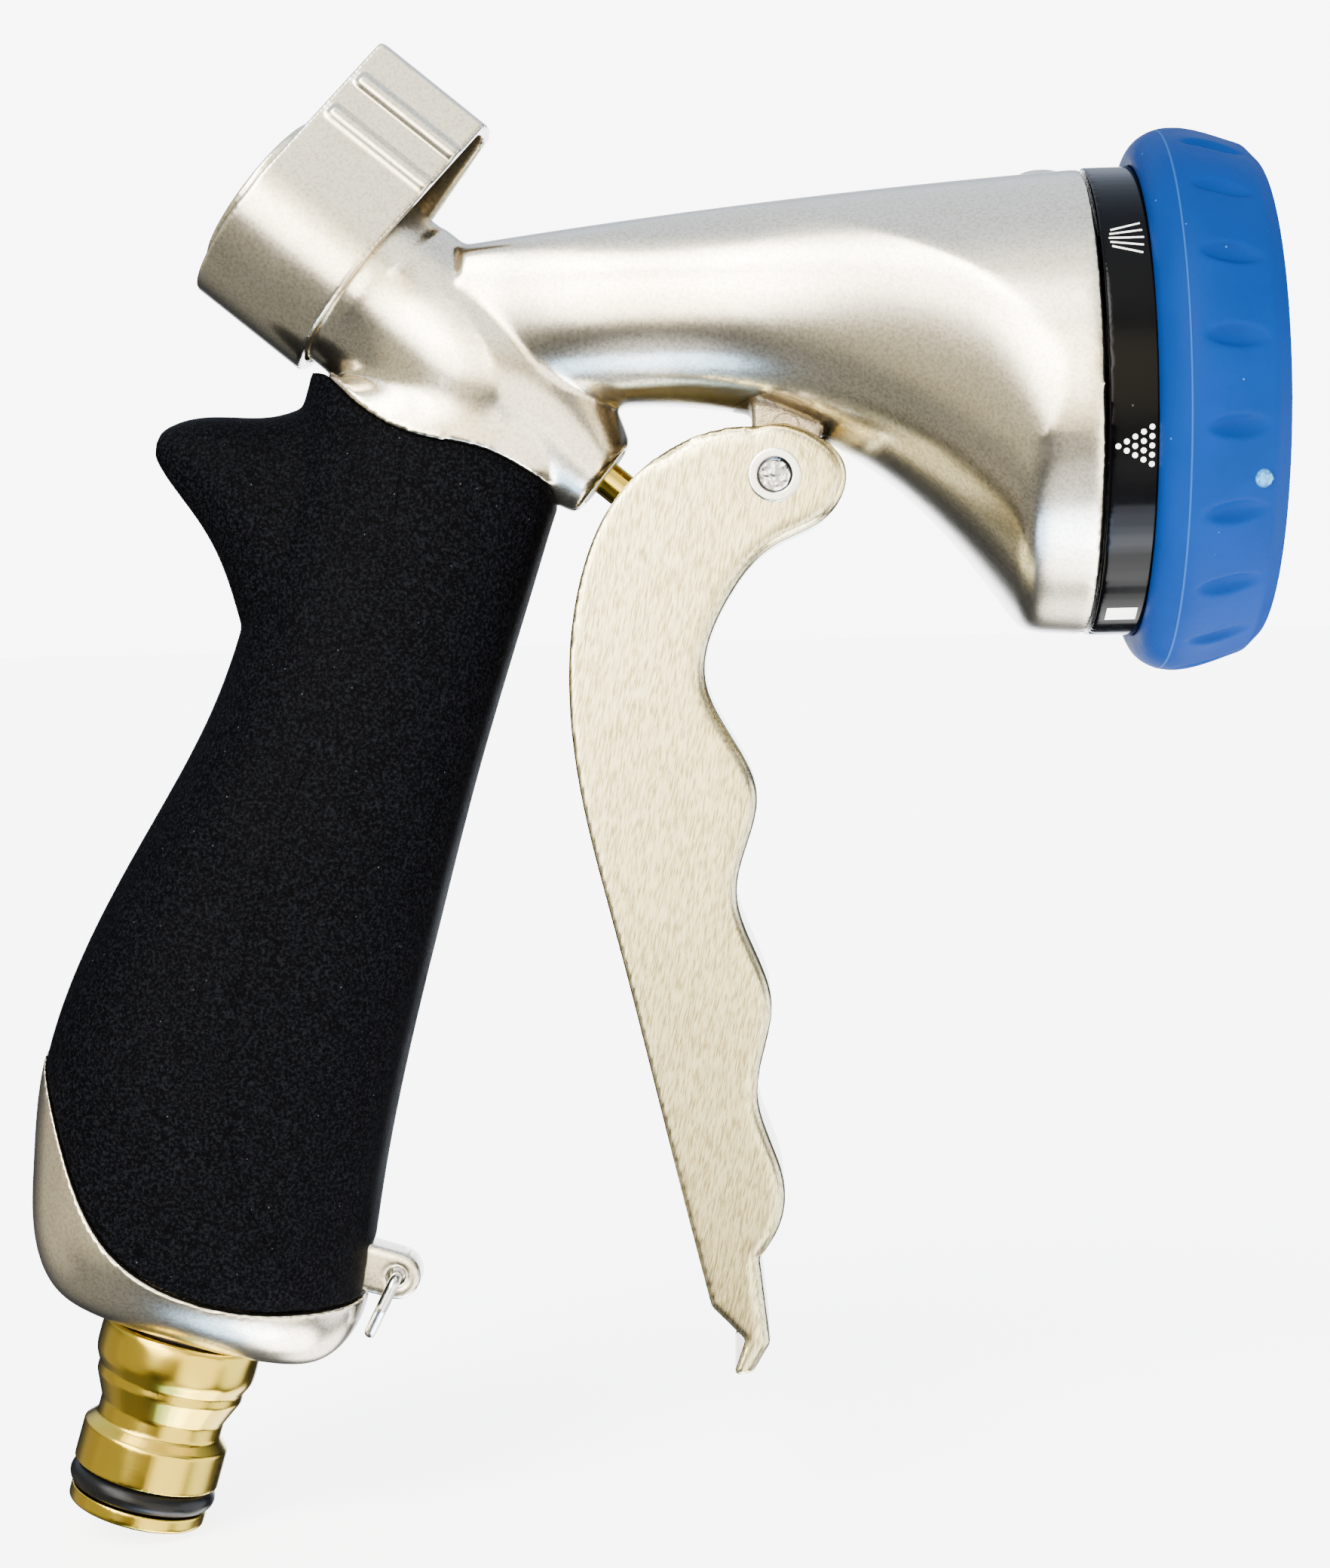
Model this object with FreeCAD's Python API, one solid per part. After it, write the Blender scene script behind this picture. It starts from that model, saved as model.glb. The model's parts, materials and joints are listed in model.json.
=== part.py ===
"""Front-trigger hose spray nozzle, in millimetres.

+X is the spray direction (the axis of the turning dial), +Z is up and Y = 0 is the
plane of symmetry. The origin is the centre of the hose plug's collar, where a
click-type hose connector grips it. Three local frames carry the construction:
the handle (z up the leaning handle from the base cap's lower face), the stem (z along
the valve stem, towards the trigger) and the head (z along the dial's axis).
"""
import FreeCAD, Part
import math
import os
from FreeCAD import Placement, Rotation, Vector

# ---- Directions ------------------------------------------------------------------------
HANDLE_LEAN = 17.0            # handle axis from the vertical, top towards the spray
STEM_DIP = 40.0               # valve stem below the horizontal, towards the trigger

# ---- Hose plug (radii, and lengths from its tip upwards) -------------------------------
PLUG_TIP_RADIUS = 7.9
PLUG_TIP_LENGTH = 1.8
PLUG_GROOVE_LENGTH = 2.9
PLUG_COLLAR_RADIUS = 8.4
PLUG_COLLAR_LENGTH = 4.6
PLUG_COLLAR_CONE = 1.2
PLUG_WAIST_RADIUS = 7.2
PLUG_WAIST_LENGTH = 4.7
PLUG_SHOULDER_RADIUS = 8.5
PLUG_SHOULDER_LENGTH = 1.8
PLUG_SHOULDER_CONE = 2.9
PLUG_FLANGE_RADIUS = 9.3
PLUG_FLANGE_LENGTH = 5.2
PLUG_THREAD_LENGTH = 12.0
PLUG_BORE_RADIUS = 4.6
PLUG_EDGE = 0.3
PLUG_RING_SECTION = 1.4       # radius of the O-ring's round section
PLUG_WASHER_THICKNESS = 0.8
PLUG_WASHER_INSET = 0.7       # washer's edge inside the flange's edge
PLUG_RING_SINK = 1.6          # groove depth as a multiple of the O-ring's section radius

# ---- Handle ----------------------------------------------------------------------------
GRIP_LENGTH = 108.8           # base cap's lower face to the grip's top, inside the neck
# rows: share of the grip's length, rear edge, front edge, half width
GRIP_SECTIONS = (
    (0.0, -13.0, 13.6, 7.6),
    (0.0165, -16.2, 17.0, 11.4),
    (0.0533, -18.8, 18.8, 14.0),
    (0.13, -21.2, 18.5, 15.0),
    (0.21, -22.8, 17.4, 15.4),
    (0.347, -22.3, 16.3, 15.4),
    (0.4945, -18.8, 15.8, 14.6),
    (0.6415, -15.2, 15.5, 13.5),
    (0.771, -14.6, 15.7, 12.8),
    (0.89, -15.0, 16.0, 12.0),
    (1.0, -14.5, 17.6, 10.4),
)
GRIP_SQUARENESS = 2.3
HORN_DROP = 17.5              # thumb horn's root below the grip's top
# rows: distance behind the handle axis, rise, half height, half width
HORN_SECTIONS = (
    (8.0, -0.1, 18.6, 9.8),
    (13.5, 0.0, 14.2, 9.2),
    (17.5, 1.9, 9.6, 8.3),
    (22.0, 3.8, 6.4, 6.8),
    (26.4, 4.8, 3.9, 5.2),
    (29.0, 5.0, 1.6, 3.0),
)
CORE_HALF_DEPTH = 12.6
CORE_HALF_WIDTH = 10.6
CORE_TAPER = 1.4              # both half sizes lose this much at the top
CORE_BORE_RADIUS = 7.6
CORE_BORE_DROP = 19.0         # bore's end below the grip's top
INLET_RADIUS = 3.6
INLET_OFFSET = 6.0            # inlet drilling behind the handle axis
CAP_FLOOR = 3.3
# slanting joint line between cap and rubber, rows: in front of the handle axis, height
CAP_LINE = (
    (-32.0, 38.0), (-23.4, 26.9), (-19.3, 21.2), (-15.2, 15.3), (-8.2, 8.8), (1.5, 6.3),
    (19.0, 9.3), (30.0, 12.6),
)
CAP_LINE_GAP = 0.25
CAP_PROUD = 0.25              # the metal cap stands out of the rubber
BASE_SEAL_THICKNESS = 0.8
BAIL_HOLE_HEIGHT = 12.6       # wire hole above the base cap's lower face
BAIL_HOLE_REACH = 22.0        # wire hole in front of the handle axis
BAIL_LUG_RADIUS = 2.7
BAIL_LUG_WIDTH = 5.2
BAIL_WIRE_RADIUS = 0.65
BAIL_HOLE_CLEARANCE = 0.3
BAIL_SIDE_GAP = 0.5
BAIL_STRAIGHT = 3.9           # parallel part of the bail's legs
BAIL_LENGTH = 7.4
BAIL_FOOT_HALF_WIDTH = 1.7
BAIL_BEND_RADIUS = 1.0
BAIL_LEAN = 10.0              # bail behind the handle's line at rest

# ---- Stem, valve and neck (places along the stem, from the stem's anchor) --------------
ANCHOR_RISE = 4.2             # stem's anchor above the grip's top
ANCHOR_REACH = 4.7            # and in front of the handle axis
STEM_RADIUS = 2.0
STEM_CLEARANCE = 0.05
STEM_REACH_GAP = 0.3          # stem's end to the trigger's web
STEM_END_ROUND = 1.2
STEM_INNER_END = -8.6
NECK_RADIUS = 10.35
NECK_MOUTH = -24.0
NECK_THREAD_RADIUS = 8.9
NECK_COLLAR_START = -19.2
# rows: place along the stem, offset up, half height, half width
NECK_SECTIONS = (
    (-14.2, 0.0, 10.6, 10.6),
    (-6.0, 0.0, 10.5, 11.2),
    (1.0, 0.2, 10.0, 11.3),
    (7.5, 0.7, 8.4, 9.4),
    (12.9, 0.4, 6.7, 7.3),
    (17.2, -0.3, 4.9, 5.6),
)
# line where the rubber ends on the neck, rows: height above the stem, place along it
GRIP_EDGE = (
    (-10.45, -40.0), (-10.45, -14.0), (-10.2, -3.5), (-8.3, 1.0), (-6.2, 5.2),
    (-5.1, 10.0), (-4.6, 17.0), (-4.6, 40.0),
)
VALVE_BORE_RADIUS = 7.2
SEAT_FACE = -1.0
SEAT_LENGTH = 3.0
SEAT_RADIUS = 6.6
SEAT_BORE_RADIUS = 4.2
OUTLET_END = 9.0
OUTLET_RADIUS = 5.5
GLAND_RADIUS = 3.5
STEM_RING_SECTION = 0.7
POPPET_RADIUS = 5.4
POPPET_LENGTH = 1.6
POPPET_WASHER_THICKNESS = 1.2
CLIP_RADIUS = 2.9
CLIP_THICKNESS = 0.6
SPRING_WIRE_RADIUS = 0.4
SPRING_RADIUS = 3.8
SPRING_TURNS = 5
SLEEVE_CLEARANCE = 0.05
SLEEVE_WALL = 1.1
SLEEVE_LENGTH = 10.0
SLEEVE_END = -4.4
SLEEVE_WINDOW_RADIUS = 3.7
SPINDLE_RADIUS = 3.6
SPINDLE_TONGUE = 2.2          # half width across the flats that drive the knob
SPINDLE_CLEARANCE = 0.05
SPINDLE_RING_SECTION = 0.7
NUT_FLANGE = 1.6
NUT_SEAL_SECTION = 0.6

# ---- Flow knob -------------------------------------------------------------------------
KNOB_RIM = -17.3
KNOB_DEPTH = 14.7
KNOB_RADIUS = 12.1
KNOB_WALL = 1.35
KNOB_LEVER_REACH = 22.4
KNOB_TIP_HALF_WIDTH = 4.7
KNOB_TIP_BULGE = 0.5
KNOB_HUB_RADIUS = 5.6
KNOB_HUB_GAP = 0.3            # hub's end to the cap nut
KNOB_PAD_RADIUS = 9.8
KNOB_PAD_OFFSET = 0.9
KNOB_PAD_THICKNESS = 1.2
KNOB_RIB_PLACES = (12.4, 17.1)
KNOB_RIB_RADIUS = 1.1
KNOB_RIB_PROUD = 0.55
KNOB_RIB_START = 1.1          # ribs begin this far from the end face
KNOB_SCREW_RADIUS = 1.5
KNOB_SCREW_LENGTH = 7.0
KNOB_SCREW_HEAD_RADIUS = 2.9
KNOB_SCREW_HEAD_HEIGHT = 0.9

# ---- Barrel and head (places along the dial axis, from the stem's anchor) --------------
HEAD_DROP = 4.2               # dial axis below the stem's anchor
HEAD_RIM = 66.5               # front edge of the casting
HEAD_RIM_RADIUS = 25.85
ROOF_START = -6.0
ROOF_START_RADIUS = 18.9
ROOF_BULGE = 0.75             # crown of the roof line between its two ends
BARREL_ROOT = -2.0
BARREL_ROOT_HALF_WIDTH = 9.2
BARREL_CENTRE = 11.6          # barrel's centre above the dial axis
BARREL_HALF_HEIGHT = 10.6
BARREL_HALF_WIDTH = 12.6
FLARE_START = 16.0
FLARE_END = 60.0
FLARE_OVERSIZE = 1.1          # flank's half width at the rim over the rim's radius
FLARE_SPREAD_END = 1.35       # the flank is widest at this share of the flare
FLARE_SPREAD_POWER = 1.3      # a larger power keeps the sides narrow for longer
FLARE_DROP_POWER = 2.6        # the same for the underside
FLARE_CENTRE_POWER = 3.5      # and for the centre line
FLANK_SQUARENESS = 2.3
FLARE_STATIONS = 10
PASSAGE_RADIUS = 5.4
PASSAGE_HEIGHT = 7.8          # barrel passage above the dial axis
PASSAGE_START = 7.0
HEAD_WALL = 3.25              # round the plate's pocket
HEAD_POCKET_DEPTH = 7.0
HEAD_SHOULDER_WIDTH = 6.1     # seat of the plate at the pocket's floor
HEAD_CAVITY_LENGTH = 24.0
CAVITY_STEP = 0.4             # cavity wider than the passage where they meet
INDEX_PLACE = 62.4
INDEX_RADIUS = 1.95
INDEX_PROUD = 0.25

# ---- Dial ------------------------------------------------------------------------------
PATTERN_COUNT = 7
PATTERN_CIRCLE_INSET = 8.6    # pattern centres inside the plate pocket's wall
PLATE_THICKNESS = 5.8
PLATE_CLEARANCE = 0.15
PLATE_RING_SECTION = 0.78
POST_RADIUS = 4.0
POST_LENGTH = 12.0
POST_CLEARANCE = 0.05
PORT_RADIUS = 3.0
PORT_SEAL_WALL = 2.2
PORT_SEAL_LENGTH = 3.0
PORT_SEAL_GAP = 0.15
PORT_SPRING_WIRE = 0.35
PORT_SPRING_TURNS = 2
DETENT_CIRCLE_INSET = 4.6     # detent ball inside the plate pocket's wall
DETENT_BALL_RADIUS = 1.5
DETENT_DIMPLE_DEPTH = 0.6
DETENT_POCKET_FLOOR = 1.0
DETENT_SPRING_TURNS = 3
PLATE_SCREW_ANGLES = (60.0, 120.0, 240.0, 300.0)
PLATE_SCREW_INSET = 3.3       # screws inside the plate pocket's wall
PLATE_SCREW_RADIUS = 1.25
PLATE_SCREW_HEAD_RADIUS = 2.3
PLATE_SCREW_HEAD_HEIGHT = 1.6
PLATE_SCREW_LENGTH = 5.0
DIAL_GAP = 0.3                # casting rim to drum
DRUM_BAND_PROUD = 0.15        # band over the casting's rim
DRUM_BAND_LENGTH = 7.4
DRUM_STEP = 1.4               # from the band down to the drum's body
DRUM_FLOOR = 2.4
DRUM_WALL = 2.0
DRUM_LENGTH = 16.4
DRUM_HUB_RADIUS = 7.4
DRUM_WEB = 1.4
CHAMBER_PORT_RADIUS = 3.2
FACE_THICKNESS = 2.6
WASHER_RADIUS = 5.4
WASHER_THICKNESS = 0.7
WASHER_LIFT = 0.1             # post's end above the drum's inner step
CENTER_SCREW_RADIUS = 1.7
CENTER_SCREW_LENGTH = 9.0
CENTER_SCREW_HEAD_RADIUS = 3.6
CENTER_SCREW_HEAD_HEIGHT = 2.0
CENTER_CAP_RADIUS = 5.6
CENTER_CAP_PROUD = 1.2
RING_BACK_GAP = 5.1           # visible width of the drum's band
RING_LENGTH = 13.8
RING_WALL = 5.3               # thickest, over the drum's body
RING_BACK_LIP = 0.9           # back edge over the band
RING_SHOULDER = 3.0           # from the back edge to the largest radius
RING_FRONT_DROP = 1.7         # front edge inside the largest radius
RING_CROWN = 0.35             # outward curve between the two
RING_FRONT_ROUND = 1.8
RING_FRONT_LIP = 0.6          # front opening inside the drum's body
RING_DENT_COUNT = 20
RING_DENT_DEPTH = 0.85
RING_DENT_LENGTH = 9.0
RING_DENT_WIDTH = 2.6
# spray patterns as rings of holes, rows: circle radius, holes, hole radius
JET_RINGS = ((0.0, 1, 1.6),)
SHOWER_RINGS = ((3.6, 10, 0.5), (1.8, 5, 0.5))
CONE_RINGS = ((2.6, 8, 0.6),)
MIST_RINGS = ((3.0, 3, 0.8),)
SOAKER_RINGS = ((2.2, 4, 1.1),)
FLAT_SLOT = (3.4, 0.45)       # half length, half width
ANGLE_SLOT = (3.0, 0.35)

# ---- Trigger (side view from its pivot) ------------------------------------------------
PIVOT = (32.1, -11.7)         # trigger pivot, from the stem's anchor
TRIGGER_WIDTH = 19.0
TRIGGER_SHEET = 1.3
TRIGGER_WEB_SHIFT = (-1.35, 0.9)
PIN_RADIUS = 2.0
PIN_CLEARANCE = 0.05
RIVET_HEAD_RADIUS = 2.95
RIVET_HEAD_HEIGHT = 0.45
RIVET_RECESS_RADIUS = 1.85
LUG_SIDE_GAP = 0.35
LUG_FRONT_GAP = 0.5
LUG_ROUND = 4.2
LUG_FRONT = 5.0
LUG_REAR = 2.3
LUG_TOP = 12.0
STOP_NUB = (9.2, 3.1)         # small casting stub in front of the trigger's nose
STOP_NUB_RADIUS = 0.8
STOP_NUB_WIDTH = 2.0
TRIGGER_BACK = (
    (-2.2, 5.5), (-10.1, 3.9), (-17.8, -2.4), (-21.8, -11.4), (-23.2, -24.3),
    (-21.8, -36.8), (-18.9, -49.4), (-13.1, -74.8), (-9.1, -92.0),
)
TRIGGER_TAIL = ((-5.4, -95.8), (-6.8, -99.7), (-4.6, -99.7), (-2.6, -96.4))
# front edge upwards: foot, groove bottoms and crests, then the round nose
TRIGGER_FRONT = (
    (-3.6, -86.8), (-0.9, -77.2), (-3.4, -68.6), (-1.6, -58.2), (-5.2, -45.8),
    (-2.7, -35.2), (-8.1, -22.4), (-5.4, -13.4), (0.0, -7.6), (6.0, -4.4),
    (7.9, 0.5), (4.6, 4.5),
)


# ---- Helpers ---------------------------------------------------------------------------
def local_frame(origin, x_axis, z_axis):
    """Placement whose local x and z axes are the two given directions."""
    return Placement(origin, Rotation(x_axis, z_axis.cross(x_axis), z_axis, "ZXY"))


def place(shape, frame):
    placed = shape.copy()
    placed.Placement = frame.multiply(shape.Placement)
    return placed


def rod(frame, radius, start, end, x=0.0, y=0.0):
    return place(Part.makeCylinder(radius, end - start, Vector(x, y, start)), frame)


def tube(frame, outer, inner, start, end, x=0.0, y=0.0):
    return rod(frame, outer, start, end, x, y).cut(rod(frame, inner, start, end, x, y))


def box(frame, low, high):
    size = [b - a for a, b in zip(low, high)]
    return place(Part.makeBox(*size, Vector(*low)), frame)


def turned(frame, profile):
    """Solid of revolution about the frame's z axis; profile rows are (radius, z)."""
    points = [Vector(radius, 0, z) for radius, z in profile]
    outline = Part.makePolygon(points + points[:1])
    return place(Part.Face(outline).revolve(Vector(0, 0, 0), Vector(0, 0, 1), 360), frame)


def o_ring(frame, radius, section, z):
    return place(Part.makeTorus(radius, section, Vector(0, 0, z)), frame)


def oval_wire(frame, z, centre, half_x, half_y, squareness=2.0, points=20):
    """Closed smooth wire of a superellipse in the plane z = constant."""
    def corner(value):
        return math.copysign(abs(value) ** (2.0 / squareness), value)

    angles = [2 * math.pi * i / points for i in range(points)]
    ring = [Vector(centre + half_x * corner(math.cos(a)), half_y * corner(math.sin(a)), z)
            for a in angles]
    curve = Part.BSplineCurve()
    curve.interpolate(Points=ring, PeriodicFlag=True)
    return place(Part.Wire(curve.toShape()), frame)


def loft(wires):
    return Part.makeLoft(wires, True, False)


def smooth_edge(points):
    curve = Part.BSplineCurve()
    curve.interpolate(Points=[Vector(*point) for point in points])
    return curve.toShape()


def coil(frame, radius, wire_radius, start, end, turns):
    """Round-wire compression spring between two planes of the frame."""
    height = end - start - 2 * wire_radius
    path = Part.Wire(Part.makeHelix(height / turns, height, radius).Edges)
    section = Part.Wire(Part.makeCircle(wire_radius, Vector(radius, 0, 0), Vector(0, 1, 0)))
    solid = path.makePipeShell([section], True, True)
    solid.translate(Vector(0, 0, start + wire_radius))
    return place(solid, frame)


def fuse(first, *others):
    return first.fuse(list(others)).removeSplitter()


# ---- Frames ----------------------------------------------------------------------------
lean = math.radians(HANDLE_LEAN)
dip = math.radians(STEM_DIP)
handle_up = Vector(math.sin(lean), 0, math.cos(lean))
handle_front = Vector(math.cos(lean), 0, -math.sin(lean))
stem_way = Vector(math.cos(dip), 0, -math.sin(dip))
stem_up = Vector(math.sin(dip), 0, math.cos(dip))

plug_length = (PLUG_TIP_LENGTH + PLUG_GROOVE_LENGTH + PLUG_COLLAR_LENGTH + PLUG_COLLAR_CONE
               + PLUG_WAIST_LENGTH + PLUG_SHOULDER_LENGTH + PLUG_FLANGE_LENGTH)
collar_middle = PLUG_TIP_LENGTH + PLUG_GROOVE_LENGTH + PLUG_COLLAR_LENGTH / 2
base = handle_up * (plug_length - collar_middle)
anchor = base + handle_up * (GRIP_LENGTH + ANCHOR_RISE) + handle_front * ANCHOR_REACH
PLUG = local_frame(handle_up * -collar_middle, handle_front, handle_up)
HANDLE = local_frame(base, handle_front, handle_up)
STEM = local_frame(anchor, stem_up, stem_way)
HEAD = local_frame(anchor - Vector(0, 0, HEAD_DROP), Vector(0, 0, 1), Vector(1, 0, 0))
TRIGGER = Placement(anchor + Vector(PIVOT[0], 0, PIVOT[1]), Rotation())
ACROSS = Rotation(Vector(1, 0, 0), -90)          # local z becomes +Y


def across(x, z, frame):
    """Frame at (x, z) of another frame, with its z axis along the part's width."""
    return frame.multiply(Placement(Vector(x, 0, z), ACROSS))


def side_plate(frame, edges, half_width):
    """Solid from a side-view outline (edges in the frame's x-z plane), centred on Y = 0."""
    face = Part.Face(Part.Wire(edges))
    face.translate(Vector(0, -half_width, 0))
    return place(face.extrude(Vector(0, 2 * half_width, 0)), frame)


# ---- Hose plug -------------------------------------------------------------------------
groove_start = PLUG_TIP_LENGTH
collar_start = groove_start + PLUG_GROOVE_LENGTH
collar_end = collar_start + PLUG_COLLAR_LENGTH
waist_start = collar_end + PLUG_COLLAR_CONE
waist_end = waist_start + PLUG_WAIST_LENGTH
flange_start = waist_end + PLUG_SHOULDER_LENGTH
flange_end = flange_start + PLUG_FLANGE_LENGTH
thread_end = flange_end + PLUG_THREAD_LENGTH
groove_radius = PLUG_TIP_RADIUS - PLUG_RING_SINK * PLUG_RING_SECTION
washer_radius = PLUG_FLANGE_RADIUS - PLUG_WASHER_INSET


def hose_plug():
    return turned(PLUG, [
        (PLUG_BORE_RADIUS, 0), (PLUG_TIP_RADIUS - PLUG_EDGE, 0), (PLUG_TIP_RADIUS, PLUG_EDGE),
        (PLUG_TIP_RADIUS, groove_start), (groove_radius, groove_start),
        (groove_radius, collar_start), (PLUG_COLLAR_RADIUS, collar_start),
        (PLUG_COLLAR_RADIUS, collar_end), (PLUG_WAIST_RADIUS, waist_start),
        (PLUG_WAIST_RADIUS, waist_end - PLUG_SHOULDER_CONE), (PLUG_SHOULDER_RADIUS, waist_end),
        (PLUG_SHOULDER_RADIUS, flange_start), (PLUG_FLANGE_RADIUS, flange_start),
        (PLUG_FLANGE_RADIUS, flange_end), (CORE_BORE_RADIUS, flange_end),
        (CORE_BORE_RADIUS, thread_end), (PLUG_BORE_RADIUS, thread_end),
    ])


def plug_o_ring():
    middle = groove_start + PLUG_GROOVE_LENGTH / 2
    return o_ring(PLUG, groove_radius + PLUG_RING_SECTION, PLUG_RING_SECTION, middle)


def plug_washer():
    return tube(HANDLE, washer_radius, CORE_BORE_RADIUS, 0, PLUG_WASHER_THICKNESS)


# ---- Handle: cap, rubber and the shapes that part them ---------------------------------
def grip_outline(grow=0.0):
    wires = [oval_wire(HANDLE, share * GRIP_LENGTH, (rear + front) / 2,
                       (front - rear) / 2 + grow, half_width + grow, GRIP_SQUARENESS)
             for share, rear, front, half_width in GRIP_SECTIONS]
    return loft(wires)


def horn():
    level = GRIP_LENGTH - HORN_DROP
    rearward = HANDLE.multiply(Placement(Vector(0, 0, level), Rotation(Vector(0, 1, 0), -90)))
    wires = [oval_wire(rearward, behind, rise, half_height, half_width)
             for behind, rise, half_height, half_width in HORN_SECTIONS]
    return loft(wires)


def below_cap_line(gap=0.0):
    """Block of the handle's space below the slanting joint line."""
    line = smooth_edge([(x, 0, height + gap) for x, height in CAP_LINE])
    start, end = line.Vertexes[0].Point, line.Vertexes[1].Point
    low = -PLUG_THREAD_LENGTH
    sides = Part.makePolygon([end, Vector(end.x, 0, low), Vector(start.x, 0, low), start])
    return side_plate(HANDLE, [line] + sides.Edges, 2 * CORE_HALF_DEPTH)


def below_neck_line():
    """Block of space below the line where the rubber ends on the neck."""
    line = smooth_edge([(height, 0, along) for height, along in GRIP_EDGE])
    start, end = line.Vertexes[0].Point, line.Vertexes[1].Point
    far = 1.5 * GRIP_LENGTH
    sides = Part.makePolygon([end, Vector(end.x, 0, far), Vector(-far, 0, far),
                              Vector(-far, 0, -far), Vector(start.x, 0, -far), start])
    return side_plate(STEM, [line] + sides.Edges, 2 * CORE_HALF_DEPTH)


core_start = CAP_FLOOR + BASE_SEAL_THICKNESS


def base_cap():
    cap = grip_outline(CAP_PROUD).common(below_cap_line())
    core_space = core_shape().fuse(rod(HANDLE, washer_radius + CAP_PROUD, 0, PLUG_WASHER_THICKNESS))
    bore = rod(HANDLE, CORE_BORE_RADIUS, 0, core_start)
    return cap.cut([core_space, bore, base_seal(), bail_lug()])


def base_seal():
    outer = (CORE_BORE_RADIUS + CORE_HALF_WIDTH) / 2
    return tube(HANDLE, outer, CORE_BORE_RADIUS, CAP_FLOOR, core_start)


def core_shape():
    """Oval metal core of the handle, under the rubber."""
    return loft([oval_wire(HANDLE, core_start, 0, CORE_HALF_DEPTH, CORE_HALF_WIDTH),
                 oval_wire(HANDLE, GRIP_LENGTH, 0, CORE_HALF_DEPTH - CORE_TAPER,
                           CORE_HALF_WIDTH - CORE_TAPER)])


def bail_lug():
    eye = across(BAIL_HOLE_REACH, BAIL_HOLE_HEIGHT, HANDLE)
    half = BAIL_LUG_WIDTH / 2
    nose = rod(eye, BAIL_LUG_RADIUS, -half, half)
    arm = box(HANDLE, (0, -half, BAIL_HOLE_HEIGHT - BAIL_LUG_RADIUS),
              (BAIL_HOLE_REACH, half, BAIL_HOLE_HEIGHT + BAIL_LUG_RADIUS))
    hole = rod(eye, BAIL_WIRE_RADIUS + BAIL_HOLE_CLEARANCE, -half, half)
    return fuse(nose, arm).cut(hole)


def grip_sleeve(casting_outside):
    rubber = grip_outline().fuse(horn()).common(below_neck_line())
    return rubber.cut([below_cap_line(CAP_LINE_GAP), casting_outside])


def bent_path(points, radius):
    """Edges of a polyline whose inner corners are rounded by tangent arcs."""
    edges, start = [], points[0]
    for before, corner, after in zip(points, points[1:], points[2:]):
        way_in = (corner - before).normalize()
        way_out = (after - corner).normalize()
        turn = way_in.getAngle(way_out)
        trim = radius * math.tan(turn / 2)
        arc_start, arc_end = corner - way_in * trim, corner + way_out * trim
        middle = corner + (way_out - way_in).normalize() * (radius / math.cos(turn / 2) - radius)
        edges.append(Part.makeLine(start, arc_start))
        edges.append(Part.Arc(arc_start, middle, arc_end).toShape())
        start = arc_end
    edges.append(Part.makeLine(start, points[-1]))
    return edges


def wire_bail():
    lean_back = Rotation(Vector(0, 1, 0), 180 + BAIL_LEAN)
    eye = HANDLE.multiply(Placement(Vector(BAIL_HOLE_REACH, 0, BAIL_HOLE_HEIGHT), lean_back))
    side = BAIL_LUG_WIDTH / 2 + BAIL_SIDE_GAP + BAIL_WIRE_RADIUS
    split = BAIL_WIRE_RADIUS / 4
    corners = [(split, BAIL_LENGTH), (BAIL_FOOT_HALF_WIDTH, BAIL_LENGTH), (side, BAIL_STRAIGHT),
               (side, 0), (-side, 0), (-side, BAIL_STRAIGHT),
               (-BAIL_FOOT_HALF_WIDTH, BAIL_LENGTH), (-split, BAIL_LENGTH)]
    path = Part.Wire(bent_path([Vector(0, y, z) for y, z in corners], BAIL_BEND_RADIUS))
    start = Vector(0, *corners[0])
    section = Part.Wire(Part.makeCircle(BAIL_WIRE_RADIUS, start, Vector(0, 1, 0)))
    return place(path.makePipeShell([section], True, True), eye)


# ---- Casting ---------------------------------------------------------------------------
def roof():
    """Turned bell about the dial axis that bounds barrel and head."""
    middle = (ROOF_START + HEAD_RIM) / 2
    crown = Vector((ROOF_START_RADIUS + HEAD_RIM_RADIUS) / 2 + ROOF_BULGE, 0, middle)
    start = Vector(ROOF_START_RADIUS, 0, ROOF_START)
    rim = Vector(HEAD_RIM_RADIUS, 0, HEAD_RIM)
    line = Part.Arc(start, crown, rim).toShape()
    sides = Part.makePolygon([rim, Vector(0, 0, HEAD_RIM), Vector(0, 0, ROOF_START), start])
    face = Part.Face(Part.Wire([line] + sides.Edges))
    return place(face.revolve(Vector(0, 0, 0), Vector(0, 0, 1), 360), HEAD)


def flare_section(along):
    """Centre height, half height and half width of the flank at a place on the dial axis."""
    flare = max(0.0, (along - FLARE_START) / (FLARE_END - FLARE_START))
    root = min(1.0, (along - BARREL_ROOT) / (FLARE_START - BARREL_ROOT))
    spread = min(1.0, flare / FLARE_SPREAD_END)
    spread = (3 * spread ** 2 - 2 * spread ** 3) ** FLARE_SPREAD_POWER
    narrow = BARREL_ROOT_HALF_WIDTH + (BARREL_HALF_WIDTH - BARREL_ROOT_HALF_WIDTH) * root
    half_width = narrow + (HEAD_RIM_RADIUS * FLARE_OVERSIZE - narrow) * spread
    bottom = BARREL_CENTRE - BARREL_HALF_HEIGHT
    bottom -= (bottom + HEAD_RIM_RADIUS) * flare ** FLARE_DROP_POWER
    centre = BARREL_CENTRE * (1 - min(1.0, flare) ** FLARE_CENTRE_POWER)
    return centre, centre - bottom, half_width


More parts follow.
